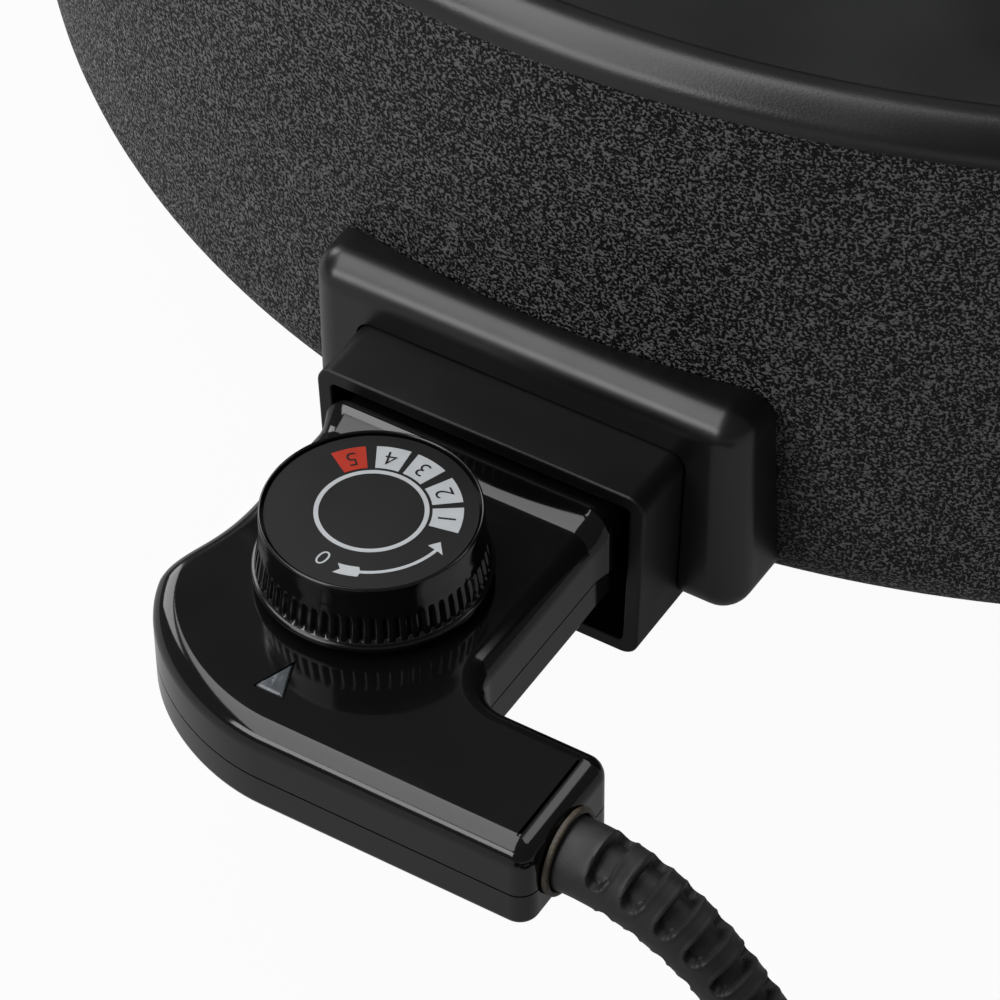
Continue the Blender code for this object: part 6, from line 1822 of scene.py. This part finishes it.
@dataclass
class Underside:
    """Feet, screws and cover that show from below."""

    recess: float = 4.2 * MM
    recess_depth: float = 4 * MM

    def build(self) -> None:
        """Make the feet, their screws and the cover's dressing."""
        for number in range(1, 5):
            self.foot(number)
            self.screw(f"foot_screw_{number}", Body.PAN)
        for number in range(1, 4):
            self.screw(f"case_screw_{number}", Body.THERMOSTAT)
        self.cover()

    def foot(self, number: int) -> None:
        """One rubber foot with a rounded tread."""
        node = f"foot_{number}"
        low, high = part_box(node)
        place = middle(node)
        top = (high.x - low.x) / 2
        tread = 12 * MM
        hole = FOOT_SCREW_BORE
        profile = [(hole, high.z), (top, high.z), (tread, 1.6 * MM)]
        profile += arc((tread - 1.4 * MM, 1.4 * MM), 1.4 * MM, 0, -90, 6)
        for groove in range(3):
            at = 9.6 * MM - groove * 1.7 * MM
            for inward, depth in ((0.0, 0.0), (0.25, 0.35), (0.7, 0.35), (0.95, 0.0)):
                profile.append((at - inward * MM, depth * MM))
        profile += [(self.recess, 0.0), (self.recess, self.recess_depth), (hole, self.recess_depth)]
        foot = shift(revolve(profile, 72, closed=True), (place.x, place.y, 0))
        finish_piece(foot, f"rubber_{node}", Body.PAN, Finishes.rubber, (node,), 40)

    def screw(self, node: str, body: Body) -> None:
        """One pan-head screw with a cross recess, its head downwards."""
        low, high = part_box(node)
        place = middle(node)
        head = (high.x - low.x) / 2
        shank = head * 0.53
        thick = head * 0.7
        profile = [(0.0, 0.0), (head * 0.55, 0.0)]
        profile += arc((head * 0.55, head * 0.45), head * 0.45, -90, 0, 6)
        profile += [(head, thick), (shank, thick), (shank, high.z - low.z), (0.0, high.z - low.z)]
        screw = shift(revolve(profile, 48), (place.x, place.y, low.z))
        half, width = head * 0.55, head * 0.14
        cross = []
        for x, y in ((half, width), (width, half)):
            floor = low.z + head * 0.4
            start = (place.x - x, place.y - y, low.z - OVERRUN)
            cross.append(block(start, (place.x + x, place.y + y, floor)))
        screw = combine(screw, cross, Operation.CUT)
        finish_piece(screw, f"turned_{node}", body, Finishes.plated, (node,), 34)

    def cover(self) -> None:
        """Base cover with a pressed bead."""
        low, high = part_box("base_cover")
        place = middle("base_cover")
        reach = (high.x - low.x) / 2
        bore = 3.3 * MM
        thick = high.z - low.z
        profile = [(bore, 0.0)]
        profile += [(60 * MM, 0.0), (62 * MM, 0.3 * MM), (66 * MM, 0.3 * MM), (68 * MM, 0.0)]
        profile += [(reach, 0.0), (reach, thick), (bore, thick)]
        cover = shift(revolve(profile, 192, closed=True), (0, place.y, low.z))
        cover = combine(cover, foot_screw_bores(low.z), Operation.CUT)
        finish_piece(cover, "pressed_cover", Body.PAN, Finishes.plated, ("base_cover",), 30, True)


@dataclass
class Contacts:
    """Pins, contact sleeves and probe, which show when the thermostat is pulled out."""

    pin_radius: float = 2.5 * MM
    collar_radius: float = 4.0 * MM
    collar: float = 1.4 * MM
    tail: float = 1.3 * MM
    sleeve_inner: float = 2.8 * MM
    sleeve_outer: float = 3.4 * MM

    def build(self) -> None:
        """Make the round contact pieces smooth."""
        for node in ("line_pin_left", "earth_pin", "line_pin_right"):
            self.pin(node)
        for node in ("line_contact_left", "earth_contact", "line_contact_right"):
            self.sleeve(node)
        self.probe()

    def pin(self, node: str) -> None:
        """One collared pin with a rounded tip."""
        low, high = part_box(node)
        place = middle(node)
        length = high.y - low.y
        collar = length - self.tail - self.collar
        reach = self.pin_radius
        profile = [(0.0, 0.0), (reach * 0.35, 0.05 * MM)]
        profile += arc((reach - 1.3 * MM, 1.35 * MM), 1.3 * MM, -70, 0, 8)
        step = collar + self.collar
        profile += [(reach, collar), (self.collar_radius, collar), (self.collar_radius, step)]
        profile += [(reach, step), (reach, length), (0.0, length)]
        pin = revolve(profile, 48)
        stand(pin, "Y")
        shift(pin, (place.x, low.y, place.z))
        finish_piece(pin, f"turned_{node}", Body.PAN, Finishes.brass, (node,))

    def sleeve(self, node: str) -> None:
        """One contact sleeve."""
        low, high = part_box(node)
        place = middle(node)
        inner, outer = self.sleeve_inner, self.sleeve_outer
        length = high.y - low.y
        profile = [(inner, 0.0), (outer, 0.0), (outer, length), (inner, length)]
        sleeve = revolve(profile, 48, closed=True)
        stand(sleeve, "Y")
        shift(sleeve, (place.x, low.y, place.z))
        finish_piece(sleeve, f"rolled_{node}", Body.THERMOSTAT, Finishes.brass, (node,))

    def probe(self) -> None:
        """Sensing probe with a domed tip."""
        low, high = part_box("sensing_probe")
        length = high.y - low.y
        reach = 3.0 * MM
        profile = [(0.0, 0.0), (reach, 0.0), (reach, length - 1.6 * MM)]
        profile += arc((reach - 1.6 * MM, length - 1.6 * MM), 1.6 * MM, 0, 90, 8)
        profile.append((0.0, length))
        probe = revolve(profile, 48)
        stand(probe, "Y")
        shift(probe, (0, low.y, middle("sensing_probe").z))
        finish_piece(probe, "probe", Body.THERMOSTAT, Finishes.steel, ("sensing_probe",))


@dataclass(frozen=True)
class HiddenWorks:
    """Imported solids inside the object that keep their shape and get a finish."""

    finishes: tuple[tuple[Finish, tuple[str, ...]], ...] = (
        (
            Finishes.plated,
            (
                "centre_spacer", "centre_washer", "centre_nut", "centre_stud",
                "left_handle_screw_1", "left_handle_screw_2",
                "right_handle_screw_1", "right_handle_screw_2",
                "socket_screw_left", "socket_screw_right", "switch_bracket",
            ),
        ),
        (Finishes.steel, ("heating_element",)),
        (Finishes.aluminium, ("reflector_plate", "probe_well")),
        (Finishes.ceramic, ("pin_carrier", "contact_stack", "adjusting_pin")),
        (Finishes.bushing, ("contact_block", "cord_clamp")),
        (Finishes.brass, ("knob_spindle", "contact_blade")),
        (Finishes.lamp, ("pilot_lamp",)),
    )

    def build(self) -> None:
        """Dress each solid."""
        for finish, nodes in self.finishes:
            for node in nodes:
                dress(node, finish)


def main() -> None:
    """Build the studio and every piece of the object."""
    logging.basicConfig(level=logging.INFO, format="%(name)s: %(message)s")
    Studio().build()
    cord = FreeCord()
    cord.build(MainsPlug().build())
    StrainRelief(cord).build()
    wall = Wall()
    socket = Socket(wall)
    OuterShell(wall, socket).build()
    CookingBowl().build()
    socket.build()
    ThermostatHead().build()
    ControlKnob().build()
    SideHandles(wall).build()
    Underside().build()
    Contacts().build()
    HiddenWorks().build()


if __name__ == "__main__":
    main()
